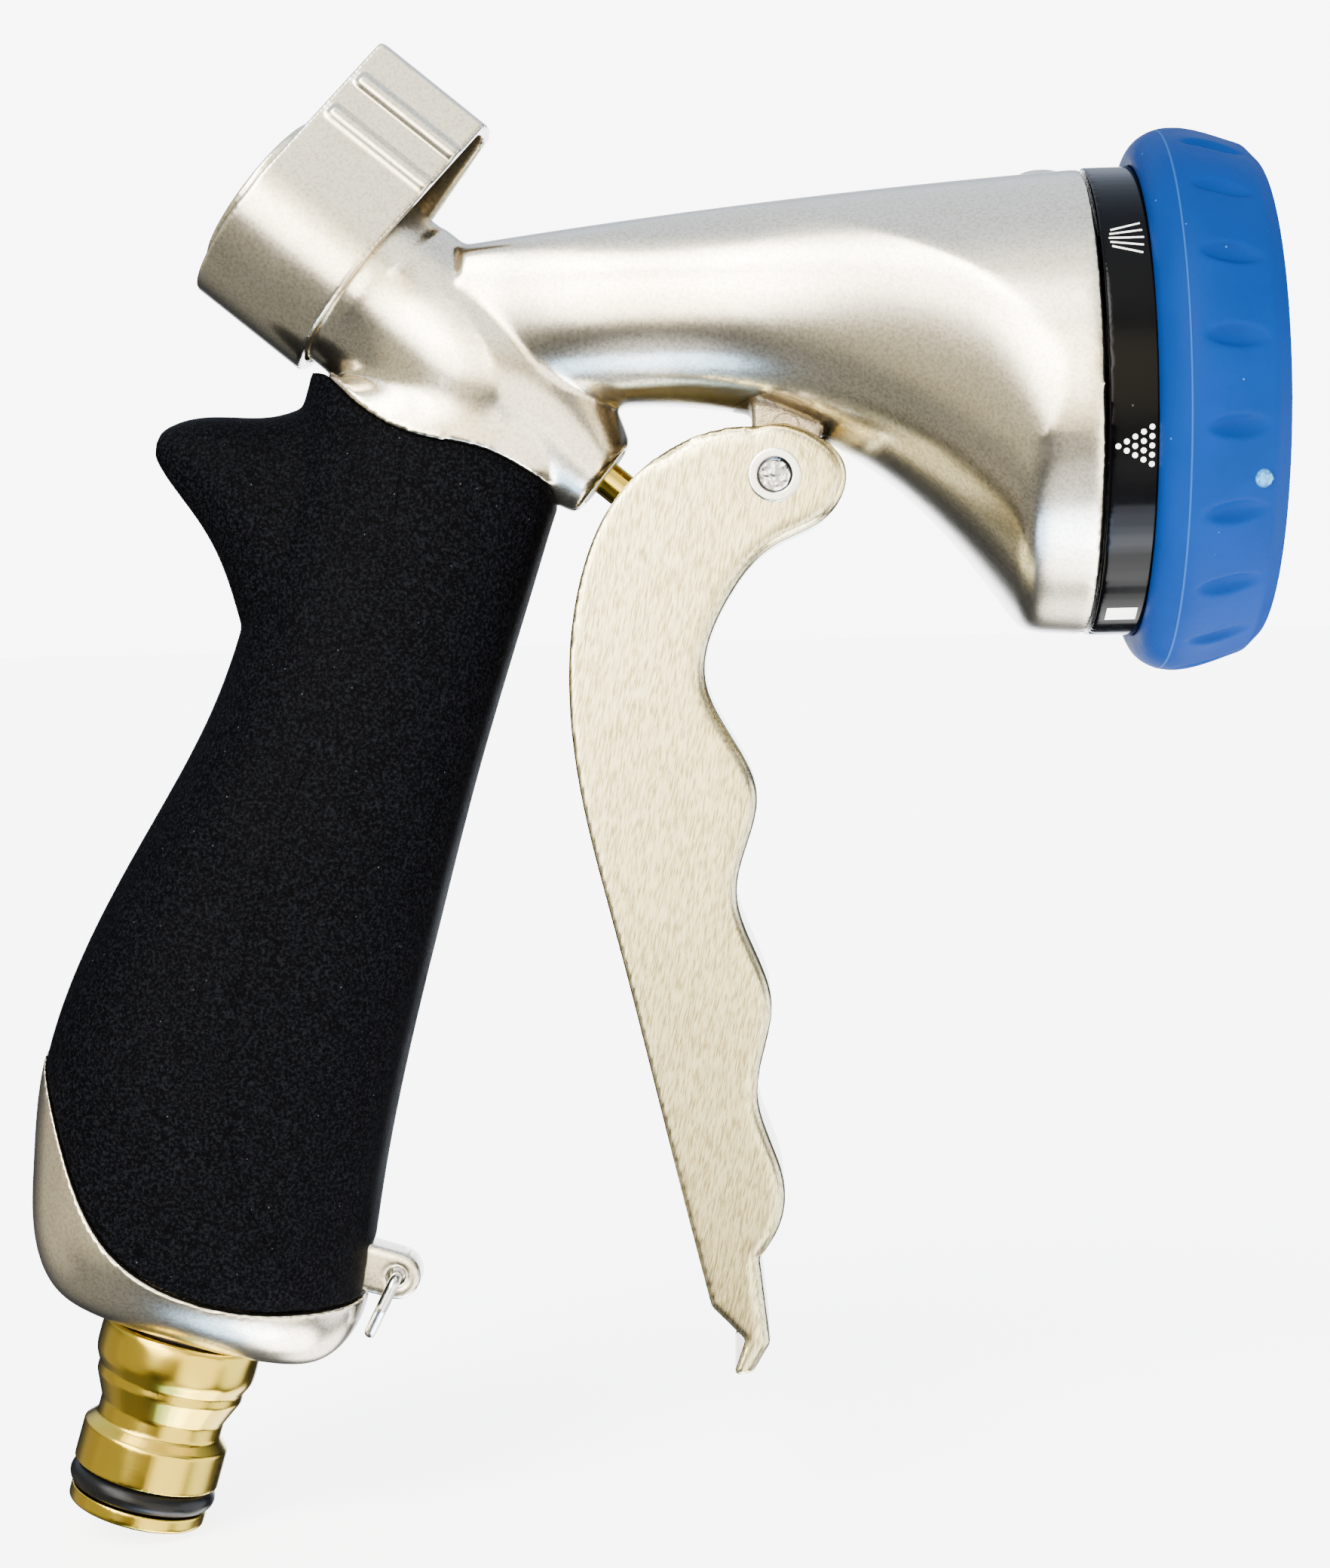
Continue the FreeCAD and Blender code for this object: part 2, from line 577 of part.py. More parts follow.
def flanks():
    end = HEAD_RIM + 1.0
    step = (end - BARREL_ROOT) / (FLARE_STATIONS - 1)
    wires = []
    for i in range(FLARE_STATIONS):
        along = BARREL_ROOT + i * step
        centre, half_height, half_width = flare_section(along)
        wires.append(oval_wire(HEAD, along, centre, half_height, half_width, FLANK_SQUARENESS))
    return loft(wires)


def neck():
    body = loft([oval_wire(STEM, along, up, half_height, half_width)
                 for along, up, half_height, half_width in NECK_SECTIONS])
    collar = rod(STEM, NECK_RADIUS, NECK_COLLAR_START, NECK_SECTIONS[0][0])
    mouth = rod(STEM, NECK_THREAD_RADIUS, NECK_MOUTH, NECK_COLLAR_START)
    return fuse(body, collar, mouth)


def pivot_lug():
    width = TRIGGER_WIDTH / 2 - TRIGGER_SHEET - LUG_SIDE_GAP
    round_end = rod(across(0, 0, TRIGGER), LUG_ROUND, -width, width)
    block = box(TRIGGER, (-LUG_REAR, -width, 0), (LUG_FRONT, width, LUG_TOP))
    rear = box(TRIGGER, (-LUG_ROUND, -width, -LUG_ROUND), (-LUG_REAR, width, 0))
    return fuse(round_end.cut(rear), block)


def casting_outside():
    head = roof().common(flanks())
    upper_handle = grip_outline().cut(below_neck_line())
    index = rod(across_top(INDEX_PLACE), INDEX_RADIUS, 0, HEAD_RIM_RADIUS + INDEX_PROUD)
    nub = rod(across(*STOP_NUB, TRIGGER), STOP_NUB_RADIUS, -STOP_NUB_WIDTH / 2, STOP_NUB_WIDTH / 2)
    return fuse(head, neck(), core_shape(), upper_handle, pivot_lug(), bail_lug(), index, nub)


def across_top(along):
    """Frame on the dial axis whose z axis points straight up."""
    return HEAD.multiply(Placement(Vector(0, 0, along), Rotation(Vector(0, 1, 0), 90)))


def head_cavity():
    """Hollow from the barrel's passage to the plate's shoulder."""
    shoulder = HEAD_RIM - HEAD_POCKET_DEPTH
    start = shoulder - HEAD_CAVITY_LENGTH
    wires = []
    root_radius = PASSAGE_RADIUS + CAVITY_STEP
    cavity_radius = pocket_radius - HEAD_SHOULDER_WIDTH
    for share in (0.0, 0.25, 0.5, 0.75, 1.0):
        radius = root_radius + (cavity_radius - root_radius) * share ** 1.5
        height = PASSAGE_HEIGHT * (1 - share ** 2)
        wires.append(oval_wire(HEAD, start + share * HEAD_CAVITY_LENGTH, height, radius, radius))
    return loft(wires)


def body_casting(outside):
    shoulder = HEAD_RIM - HEAD_POCKET_DEPTH
    neck_end = NECK_SECTIONS[-1][0]
    hollows = [
        rod(STEM, VALVE_BORE_RADIUS, NECK_MOUTH, SEAT_FACE),
        rod(STEM, SEAT_RADIUS, SEAT_FACE, SEAT_FACE + SEAT_LENGTH),
        rod(STEM, OUTLET_RADIUS, SEAT_FACE + SEAT_LENGTH, OUTLET_END),
        rod(STEM, GLAND_RADIUS, OUTLET_END, neck_end),
        rod(HANDLE, CORE_BORE_RADIUS, 0, GRIP_LENGTH - CORE_BORE_DROP),
        rod(HANDLE, INLET_RADIUS, GRIP_LENGTH - CORE_BORE_DROP - INLET_RADIUS, inlet_end,
            x=-INLET_OFFSET),
        rod(HEAD, PASSAGE_RADIUS, PASSAGE_START, shoulder - HEAD_CAVITY_LENGTH, x=PASSAGE_HEIGHT),
        head_cavity(),
        rod(HEAD, pocket_radius, shoulder, HEAD_RIM),
        rod(across(0, 0, TRIGGER), PIN_RADIUS + PIN_CLEARANCE, -TRIGGER_WIDTH, TRIGGER_WIDTH),
    ]
    hollows += [rod(spot, PLATE_SCREW_RADIUS, shoulder - PLATE_SCREW_LENGTH, shoulder)
                for spot in plate_screw_spots()]
    for hollow in hollows:
        outside = outside.cut(hollow)
    return outside


# The inlet drilling ends on the stem's axis.
inlet_end = GRIP_LENGTH + ANCHOR_RISE + (ANCHOR_REACH + INLET_OFFSET) * math.tan(dip - lean)


# ---- Valve -----------------------------------------------------------------------------
stem_hole = STEM_RADIUS + STEM_CLEARANCE
poppet_back = SEAT_FACE - POPPET_WASHER_THICKNESS - POPPET_LENGTH
ring_room = 2.6 * STEM_RING_SECTION
neck_end = NECK_SECTIONS[-1][0]
gland_middle = (OUTLET_END + neck_end) / 2


def valve_seat():
    return tube(STEM, SEAT_RADIUS, SEAT_BORE_RADIUS, SEAT_FACE, SEAT_FACE + SEAT_LENGTH)


def gland_bushes():
    """Two guide bushes either side of the stem's O-ring."""
    inner = tube(STEM, GLAND_RADIUS, stem_hole, OUTLET_END, gland_middle - ring_room / 2)
    outer = tube(STEM, GLAND_RADIUS, stem_hole, gland_middle + ring_room / 2, neck_end)
    return Part.makeCompound([inner, outer])


def stem_o_ring():
    middle = (stem_hole + GLAND_RADIUS) / 2
    return o_ring(STEM, middle, min(STEM_RING_SECTION, (GLAND_RADIUS - stem_hole) / 2), gland_middle)


def valve_stem():
    reach = web_reach() - STEM_REACH_GAP
    shank = rod(STEM, STEM_RADIUS, STEM_INNER_END, reach - STEM_END_ROUND)
    end = turned(STEM, [(0, reach - STEM_END_ROUND), (STEM_RADIUS, reach - STEM_END_ROUND),
                        (STEM_RADIUS - STEM_END_ROUND / 3, reach - STEM_END_ROUND / 3),
                        (STEM_RADIUS - STEM_END_ROUND, reach), (0, reach)])
    return fuse(shank, end)


def poppet():
    return tube(STEM, POPPET_RADIUS, STEM_RADIUS, poppet_back, poppet_back + POPPET_LENGTH)


def poppet_washer():
    return tube(STEM, POPPET_RADIUS, STEM_RADIUS, SEAT_FACE - POPPET_WASHER_THICKNESS, SEAT_FACE)


def stem_clip():
    return tube(STEM, CLIP_RADIUS, STEM_RADIUS, poppet_back - CLIP_THICKNESS, poppet_back)


def valve_spring():
    return coil(STEM, SPRING_RADIUS, SPRING_WIRE_RADIUS, sleeve_start + SLEEVE_WALL,
                poppet_back, SPRING_TURNS)


# ---- Flow control and knob -------------------------------------------------------------
sleeve_start = SLEEVE_END - SLEEVE_LENGTH
sleeve_radius = VALVE_BORE_RADIUS - SLEEVE_CLEARANCE
spindle_hole = SPINDLE_RADIUS + SPINDLE_CLEARANCE
nut_outer = NECK_MOUTH - NUT_FLANGE
knob_end = KNOB_RIM - KNOB_DEPTH
knob_floor = knob_end + KNOB_WALL
spindle_end = knob_floor
spindle_ring_room = 2.6 * SPINDLE_RING_SECTION
spindle_ring_place = (NECK_MOUTH + sleeve_start) / 2


def flow_spindle():
    cup = tube(STEM, sleeve_radius, sleeve_radius - SLEEVE_WALL, sleeve_start, SLEEVE_END)
    floor = rod(STEM, sleeve_radius, sleeve_start, sleeve_start + SLEEVE_WALL)
    shaft = rod(STEM, SPINDLE_RADIUS, spindle_end, sleeve_start)
    spindle = fuse(cup, floor, shaft)
    far = 2 * SPINDLE_RADIUS
    for side in (-1, 1):
        low = (-far, min(side * SPINDLE_TONGUE, side * far), spindle_end)
        high = (far, max(side * SPINDLE_TONGUE, side * far), nut_outer - KNOB_HUB_GAP)
        spindle = spindle.cut(box(STEM, low, high))
    window = rod(HANDLE, SLEEVE_WINDOW_RADIUS, GRIP_LENGTH - CORE_BORE_DROP, inlet_end,
                 x=-INLET_OFFSET)
    screw_hole = rod(STEM, KNOB_SCREW_RADIUS, spindle_end, knob_floor + KNOB_SCREW_LENGTH)
    return spindle.cut([window, screw_hole])


def neck_nut():
    """Plug screwed into the neck's mouth; the spindle turns in it."""
    skirt_end = sleeve_start - SLEEVE_CLEARANCE
    nut = fuse(rod(STEM, NECK_THREAD_RADIUS, nut_outer, NECK_MOUTH),
               rod(STEM, VALVE_BORE_RADIUS, NECK_MOUTH, skirt_end))
    bore = rod(STEM, spindle_hole, nut_outer, skirt_end)
    half = spindle_ring_room / 2
    groove = rod(STEM, SPINDLE_RADIUS + 2 * SPINDLE_RING_SECTION,
                 spindle_ring_place - half, spindle_ring_place + half)
    seal_groove = tube(STEM, VALVE_BORE_RADIUS, VALVE_BORE_RADIUS - 2 * NUT_SEAL_SECTION,
                       skirt_end - 4.2 * NUT_SEAL_SECTION, skirt_end - 1.6 * NUT_SEAL_SECTION)
    return nut.cut([bore, groove, seal_groove])


def neck_seal():
    middle = sleeve_start - SLEEVE_CLEARANCE - 2.9 * NUT_SEAL_SECTION
    return o_ring(STEM, VALVE_BORE_RADIUS - NUT_SEAL_SECTION, NUT_SEAL_SECTION, middle)


def spindle_o_ring():
    return o_ring(STEM, spindle_hole + SPINDLE_RING_SECTION * 0.93, SPINDLE_RING_SECTION * 0.93,
                  spindle_ring_place)


def knob_plan(radius, reach, half_width, bulge):
    """Closed outline of the knob across its axis: a circle with a tapering lever."""
    distance = math.hypot(reach, half_width)
    angle = math.atan2(half_width, reach) + math.acos(radius / distance)
    touch = Vector(radius * math.cos(angle), radius * math.sin(angle), 0)
    corner = Vector(reach - bulge, half_width, 0)
    mirrored = [Vector(p.x, -p.y, 0) for p in (touch, corner)]
    return Part.Wire([
        Part.Arc(touch, Vector(-radius, 0, 0), mirrored[0]).toShape(),
        Part.makeLine(mirrored[0], mirrored[1]),
        Part.Arc(mirrored[1], Vector(reach, 0, 0), corner).toShape(),
        Part.makeLine(corner, touch),
    ]), touch, corner


def knob_block(shrink, start, end):
    plan = knob_plan(KNOB_RADIUS - shrink, KNOB_LEVER_REACH - shrink,
                     KNOB_TIP_HALF_WIDTH - shrink, KNOB_TIP_BULGE)[0]
    plan.translate(Vector(0, 0, start))
    return place(Part.Face(plan).extrude(Vector(0, 0, end - start)), STEM)


def knob_ribs():
    """Grip ribs on both flanks of the lever, running out at the rim."""
    touch, corner = knob_plan(KNOB_RADIUS, KNOB_LEVER_REACH, KNOB_TIP_HALF_WIDTH,
                              KNOB_TIP_BULGE)[1:]
    slope = (corner.y - touch.y) / (corner.x - touch.x)
    ribs = []
    for up in KNOB_RIB_PLACES:
        flank = touch.y + slope * (up - touch.x) + KNOB_RIB_PROUD - KNOB_RIB_RADIUS
        for side in (-1, 1):
            ribs.append(rod(STEM, KNOB_RIB_RADIUS, knob_end + KNOB_RIB_START, KNOB_RIM,
                            x=up, y=side * flank))
    return ribs


def flow_knob():
    hub = rod(STEM, KNOB_HUB_RADIUS, knob_floor, nut_outer - KNOB_HUB_GAP)
    shell = fuse(knob_block(0, knob_end, KNOB_RIM), *knob_ribs())
    shell = shell.cut(knob_block(KNOB_WALL, knob_floor, KNOB_RIM))
    knob = fuse(shell, hub)
    screw_hole = rod(STEM, KNOB_SCREW_RADIUS, knob_end, knob_floor + KNOB_SCREW_LENGTH)
    return knob.cut([screw_hole, flow_spindle()])


def knob_pad():
    start = knob_end - KNOB_PAD_THICKNESS
    pad = rod(STEM, KNOB_PAD_RADIUS, start, knob_end, x=KNOB_PAD_OFFSET)
    return pad.cut(knob_screw())


def knob_screw():
    """Screw through the knob's end wall into the spindle; the pad hides its head."""
    return fuse(rod(STEM, KNOB_SCREW_RADIUS, knob_end, knob_floor + KNOB_SCREW_LENGTH),
                rod(STEM, KNOB_SCREW_HEAD_RADIUS, knob_end - KNOB_SCREW_HEAD_HEIGHT, knob_end))


# ---- Dial ------------------------------------------------------------------------------
shoulder_place = HEAD_RIM - HEAD_POCKET_DEPTH
pocket_radius = HEAD_RIM_RADIUS - HEAD_WALL
pattern_circle = pocket_radius - PATTERN_CIRCLE_INSET
detent_circle = pocket_radius - DETENT_CIRCLE_INSET
plate_screw_circle = pocket_radius - PLATE_SCREW_INSET
plate_front = shoulder_place + PLATE_THICKNESS
plate_radius = pocket_radius - PLATE_CLEARANCE
port_seal_radius = PORT_RADIUS + PORT_SEAL_WALL
band_radius = HEAD_RIM_RADIUS + DRUM_BAND_PROUD
body_radius = band_radius - DRUM_STEP
post_end = plate_front + POST_LENGTH
drum_back = HEAD_RIM + DIAL_GAP
drum_inside = drum_back + DRUM_FLOOR
drum_front = drum_back + DRUM_LENGTH
face_back = drum_front - FACE_THICKNESS
face_radius = body_radius - DRUM_WALL
hub_step = post_end - WASHER_LIFT
seal_front = drum_back - PORT_SEAL_GAP
seal_back = seal_front - PORT_SEAL_LENGTH
seal_pocket = seal_back - PORT_SPRING_TURNS * 3 * PORT_SPRING_WIRE
washer_front = post_end + WASHER_THICKNESS


def on_circle(radius, degrees):
    """Placement on the head's axis, moved out to a circle; 0 degrees is the top."""
    angle = math.radians(degrees)
    return HEAD.multiply(Placement(Vector(radius * math.cos(angle), radius * math.sin(angle), 0),
                                   Rotation()))


def plate_screw_spots():
    return [on_circle(plate_screw_circle, angle) for angle in PLATE_SCREW_ANGLES]


def port_plate():
    plate = fuse(rod(HEAD, plate_radius, shoulder_place, plate_front),
                 rod(HEAD, POST_RADIUS, plate_front, post_end))
    ring_place = shoulder_place + PLATE_THICKNESS / 2
    half = 1.3 * PLATE_RING_SECTION
    port = on_circle(pattern_circle, 0)
    detent = on_circle(detent_circle, 180)
    cuts = [
        tube(HEAD, pocket_radius, pocket_radius - 2 * PLATE_RING_SECTION,
             ring_place - half, ring_place + half),
        rod(port, PORT_RADIUS, shoulder_place, plate_front),
        rod(port, port_seal_radius, seal_pocket, plate_front),
        rod(detent, DETENT_BALL_RADIUS, detent_floor, plate_front),
        rod(HEAD, CENTER_SCREW_RADIUS, post_end - CENTER_SCREW_LENGTH, post_end),
    ]
    for spot in plate_screw_spots():
        cuts.append(rod(spot, PLATE_SCREW_RADIUS, shoulder_place, plate_front))
        cuts.append(rod(spot, PLATE_SCREW_HEAD_RADIUS, plate_front - PLATE_SCREW_HEAD_HEIGHT,
                        plate_front))
    return plate.cut(cuts)


detent_floor = shoulder_place + DETENT_POCKET_FLOOR


def plate_o_ring():
    return o_ring(HEAD, pocket_radius - PLATE_RING_SECTION, PLATE_RING_SECTION,
                  shoulder_place + PLATE_THICKNESS / 2)


def plate_screws():
    screws = []
    for spot in plate_screw_spots():
        head_start = plate_front - PLATE_SCREW_HEAD_HEIGHT
        screws.append(fuse(
            rod(spot, PLATE_SCREW_RADIUS, shoulder_place - PLATE_SCREW_LENGTH, head_start),
            rod(spot, PLATE_SCREW_HEAD_RADIUS, head_start, plate_front)))
    return Part.makeCompound(screws)


def port_seal():
    return tube(on_circle(pattern_circle, 0), port_seal_radius, PORT_RADIUS,
                seal_back, seal_front)


def port_spring():
    radius = (port_seal_radius + PORT_RADIUS) / 2
    return coil(on_circle(pattern_circle, 0), radius, PORT_SPRING_WIRE, seal_pocket,
                seal_back, PORT_SPRING_TURNS)


ball_centre = drum_back - PORT_SEAL_GAP - DETENT_BALL_RADIUS


def detent_ball():
    ball = Part.makeSphere(DETENT_BALL_RADIUS, Vector(0, 0, ball_centre))
    return place(ball, on_circle(detent_circle, 180))


def detent_spring():
    wire = DETENT_BALL_RADIUS / 6
    return coil(on_circle(detent_circle, 180), DETENT_BALL_RADIUS - 1.5 * wire, wire,
                detent_floor, ball_centre - DETENT_BALL_RADIUS * 0.85,
                DETENT_SPRING_TURNS)


def pattern_spots():
    return [on_circle(pattern_circle, i * 360.0 / PATTERN_COUNT)
            for i in range(PATTERN_COUNT)]


def pattern_drum():
    outer = fuse(rod(HEAD, band_radius, drum_back, drum_back + DRUM_BAND_LENGTH),
                 rod(HEAD, body_radius, drum_back, drum_front))
    drum = outer.cut(rod(HEAD, face_radius, drum_inside, drum_front))
    webs = []
    for i in range(PATTERN_COUNT):
        turn = Rotation(Vector(0, 0, 1), (i + 0.5) * 360.0 / PATTERN_COUNT)
        webs.append(box(HEAD.multiply(Placement(Vector(), turn)),
                        (0, -DRUM_WEB / 2, drum_inside), (face_radius, DRUM_WEB / 2, face_back)))
    drum = fuse(drum, rod(HEAD, DRUM_HUB_RADIUS, drum_inside, face_back), *webs)
    cuts = [rod(HEAD, POST_RADIUS + POST_CLEARANCE, drum_back, hub_step),
            rod(HEAD, WASHER_RADIUS + DIAL_GAP, hub_step, face_back)]
    for i, spot in enumerate(pattern_spots()):
        cuts.append(rod(spot, CHAMBER_PORT_RADIUS, drum_back, drum_inside))
        dimple = on_circle(detent_circle, 180 + i * 360.0 / PATTERN_COUNT)
        ball = Part.makeSphere(DETENT_BALL_RADIUS, Vector(0, 0, drum_back + DETENT_DIMPLE_DEPTH
                                                          - DETENT_BALL_RADIUS))
        cuts.append(place(ball, dimple))
    return drum.cut(cuts)


def spray_holes():
    """Outlets of the seven patterns, each around its own spot on the face plate."""
    low, high = face_back, drum_front

    def rings(spot, rows):
        return [rod(spot, hole, low, high, x=radius * math.cos(2 * math.pi * i / count),
                    y=radius * math.sin(2 * math.pi * i / count))
                for radius, count, hole in rows for i in range(count)]

    def slot(spot, half_y, half_x):
        return [box(spot, (-half_x, -half_y, low), (half_x, half_y, high))]

    jet, shower, cone, flat, mist, angle, soaker = pattern_spots()
    return (rings(jet, JET_RINGS) + rings(shower, SHOWER_RINGS) + rings(cone, CONE_RINGS)
            + slot(flat, *FLAT_SLOT) + rings(mist, MIST_RINGS) + slot(angle, *ANGLE_SLOT)
            + slot(angle, *ANGLE_SLOT[::-1]) + rings(soaker, SOAKER_RINGS))


def face_plate():
    plate = rod(HEAD, face_radius, face_back, drum_front)
    return plate.cut([rod(HEAD, CENTER_CAP_RADIUS, face_back, drum_front)] + spray_holes())


def drum_washer():
    return tube(HEAD, WASHER_RADIUS, CENTER_SCREW_RADIUS, post_end, washer_front)


def center_screw():
    return fuse(rod(HEAD, CENTER_SCREW_RADIUS, post_end - CENTER_SCREW_LENGTH, washer_front),
                rod(HEAD, CENTER_SCREW_HEAD_RADIUS, washer_front,
                    washer_front + CENTER_SCREW_HEAD_HEIGHT))


def center_cap():
    start = max(face_back, washer_front + CENTER_SCREW_HEAD_HEIGHT + DIAL_GAP)
    return turned(HEAD, [(0, start), (CENTER_CAP_RADIUS, start), (CENTER_CAP_RADIUS, drum_front),
                         (CENTER_CAP_RADIUS * 0.7, drum_front + CENTER_CAP_PROUD * 0.8),
                         (0, drum_front + CENTER_CAP_PROUD)])


def dent_tool():
    """Spindle along z that leaves an oval dent in a surface through the origin."""
    thick = ((RING_DENT_WIDTH / 2) ** 2 + RING_DENT_DEPTH ** 2) / (2 * RING_DENT_DEPTH)
    sweep = ((RING_DENT_LENGTH / 2) ** 2 + RING_DENT_DEPTH ** 2) / (2 * RING_DENT_DEPTH)
    tip = math.sqrt(sweep ** 2 - (sweep - thick) ** 2)
    axis = thick - RING_DENT_DEPTH
    ends = Vector(axis, 0, -tip), Vector(axis, 0, tip)
    side = Part.Arc(ends[0], Vector(-RING_DENT_DEPTH, 0, 0), ends[1]).toShape()
    face = Part.Face(Part.Wire([side, Part.makeLine(ends[1], ends[0])]))
    return face.revolve(Vector(axis, 0, 0), Vector(0, 0, 1), 360)


def grip_ring():
    back = drum_back + RING_BACK_GAP
    front = back + RING_LENGTH
    band_end = drum_back + DRUM_BAND_LENGTH
    radius = body_radius + RING_WALL
    front_radius = radius - RING_FRONT_DROP
    crest = ((radius + front_radius) / 2 + RING_CROWN, (back + RING_SHOULDER + front) / 2)
    outside = smooth_edge([
        (band_radius + RING_BACK_LIP, 0, back),
        (radius - 0.3 * (RING_WALL - DRUM_STEP), 0, back + 0.3 * RING_SHOULDER),
        (radius, 0, back + RING_SHOULDER),
        (crest[0], 0, crest[1]),
        (front_radius, 0, front - RING_FRONT_ROUND)])
    start, end = outside.Vertexes[0].Point, outside.Vertexes[1].Point
    opening = body_radius - RING_FRONT_LIP
    inside = Part.makePolygon([
        end, Vector(front_radius - RING_FRONT_ROUND, 0, front), Vector(opening, 0, front),
        Vector(opening, 0, drum_front), Vector(body_radius, 0, drum_front),
        Vector(body_radius, 0, band_end), Vector(band_radius, 0, band_end),
        Vector(band_radius, 0, back), start])
    face = Part.Face(Part.Wire([outside] + inside.Edges))
    ring = place(face.revolve(Vector(0, 0, 0), Vector(0, 0, 1), 360), HEAD)
    slope = math.degrees(math.atan2(RING_FRONT_DROP, front - RING_FRONT_ROUND - back - RING_SHOULDER))
    on_crest = Placement(Vector(crest[0], 0, crest[1]), Rotation(Vector(0, 1, 0), -slope))
    turns = [Rotation(Vector(0, 0, 1), (i + 0.5) * 360.0 / RING_DENT_COUNT)
             for i in range(RING_DENT_COUNT)]
    return ring.cut([place(dent_tool(), HEAD.multiply(Placement(Vector(), turn)).multiply(on_crest))
                     for turn in turns])


# ---- Trigger ---------------------------------------------------------------------------
def trigger_edges():
    back = smooth_edge([(x, 0, z) for x, z in TRIGGER_BACK])
    tail_points = [TRIGGER_BACK[-1], *TRIGGER_TAIL, TRIGGER_FRONT[0]]
    tail = Part.makePolygon([Vector(x, 0, z) for x, z in tail_points])
    front = smooth_edge([(x, 0, z) for x, z in TRIGGER_FRONT + TRIGGER_BACK[:1]])
    return [back] + tail.Edges + [front]


def trigger_pocket():
    pocket = side_plate(TRIGGER, trigger_edges(), TRIGGER_WIDTH / 2 - TRIGGER_SHEET)
    pocket.translate(Vector(TRIGGER_WEB_SHIFT[0], 0, TRIGGER_WEB_SHIFT[1]))
    return pocket


def trigger_lever():
    lever = side_plate(TRIGGER, trigger_edges(), TRIGGER_WIDTH / 2).cut(trigger_pocket())
    inner = TRIGGER_WIDTH / 2 - TRIGGER_SHEET
    lug_room = box(TRIGGER, (0, -inner, 0), (LUG_FRONT + LUG_FRONT_GAP, inner, LUG_TOP))
    pin_hole = rod(across(0, 0, TRIGGER), PIN_RADIUS, -TRIGGER_WIDTH, TRIGGER_WIDTH)
    return lever.cut([lug_room, pin_hole])


def web_reach():
    """Distance along the stem's axis to the inside of the trigger's web."""
    far = 2 * GRIP_LENGTH
    line = place(Part.makeLine(Vector(0, 0, 0), Vector(0, 0, far)), STEM).common(trigger_pocket())
    return max((vertex.Point - anchor).dot(stem_way) for vertex in line.Vertexes)


def pivot_rivet():
    half = TRIGGER_WIDTH / 2
    centre = across(0, 0, TRIGGER)
    pin = rod(centre, PIN_RADIUS, -half, half)
    heads = [tube(centre, RIVET_HEAD_RADIUS, RIVET_RECESS_RADIUS, start, start + RIVET_HEAD_HEIGHT)
             for start in (-half - RIVET_HEAD_HEIGHT, half)]
    return fuse(pin, *heads)


# ---- All nodes -------------------------------------------------------------------------
def build():
    outside = casting_outside()
    nodes = {"body_casting": body_casting(outside), "grip_sleeve": grip_sleeve(outside)}
    makers = (
        base_cap, base_seal, hose_plug, plug_o_ring, plug_washer, wire_bail,
        valve_seat, gland_bushes, stem_o_ring, valve_stem, poppet, poppet_washer, stem_clip,
        valve_spring, flow_spindle, neck_nut, neck_seal, spindle_o_ring,
        flow_knob, knob_pad, knob_screw,
        port_plate, plate_o_ring, plate_screws, port_seal, port_spring, detent_ball,
        detent_spring, pattern_drum, face_plate, drum_washer, center_screw, center_cap,
        grip_ring, trigger_lever, pivot_rivet,
    )
    for maker in makers:
        nodes[maker.__name__] = maker()
    return nodes


def main():
    os.makedirs("parts", exist_ok=True)
    for name, shape in build().items():
        print(f"{name:16s} solids {len(shape.Solids)} volume {shape.Volume:9.1f} mm3"
              f" valid {shape.isValid()}")
        shape.exportStep(f"parts/{name}.step")


main()
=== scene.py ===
# %% [markdown]
# # A hose nozzle in a small photo studio
# The construction of this front-trigger nozzle comes packed from CAD: every piece sits at its
# real size, in metres, with +X the spray direction and +Z up. This lesson dresses it. Most
# pieces are metal, rubber or glossy plastic that was cast, moulded or turned, so a good finish
# needs two things: soft edges that catch a line of light, and materials whose grain has the
# right scale.

# %% Load the construction
import json
import math
import bpy
from mathutils import Matrix, Vector


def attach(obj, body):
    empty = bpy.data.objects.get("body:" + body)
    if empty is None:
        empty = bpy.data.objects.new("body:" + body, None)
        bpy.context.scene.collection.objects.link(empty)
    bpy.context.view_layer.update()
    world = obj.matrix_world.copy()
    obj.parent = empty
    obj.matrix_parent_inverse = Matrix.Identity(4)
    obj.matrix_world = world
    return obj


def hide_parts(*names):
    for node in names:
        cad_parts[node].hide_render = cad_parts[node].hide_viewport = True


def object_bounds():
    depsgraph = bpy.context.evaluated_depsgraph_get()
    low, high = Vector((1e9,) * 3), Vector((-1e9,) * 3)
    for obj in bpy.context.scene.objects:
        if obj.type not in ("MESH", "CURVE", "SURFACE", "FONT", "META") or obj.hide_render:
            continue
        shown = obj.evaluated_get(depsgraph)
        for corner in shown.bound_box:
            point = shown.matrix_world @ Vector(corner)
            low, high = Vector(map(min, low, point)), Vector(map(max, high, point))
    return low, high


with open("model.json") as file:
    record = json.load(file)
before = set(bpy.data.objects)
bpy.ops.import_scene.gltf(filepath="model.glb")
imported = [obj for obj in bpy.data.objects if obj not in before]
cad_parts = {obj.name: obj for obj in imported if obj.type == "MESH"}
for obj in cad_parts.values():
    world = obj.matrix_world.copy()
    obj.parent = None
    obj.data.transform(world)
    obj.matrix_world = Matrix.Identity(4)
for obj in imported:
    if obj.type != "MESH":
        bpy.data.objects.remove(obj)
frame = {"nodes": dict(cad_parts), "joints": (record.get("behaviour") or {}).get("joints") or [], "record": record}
cad_low, cad_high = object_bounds()
MM = 0.001
JOINTS = {joint["name"]: joint for joint in frame["joints"]}
BODY_OF = {node: body for body, nodes in frame["record"]["behaviour"]["bodies"].items()
           for node in nodes}
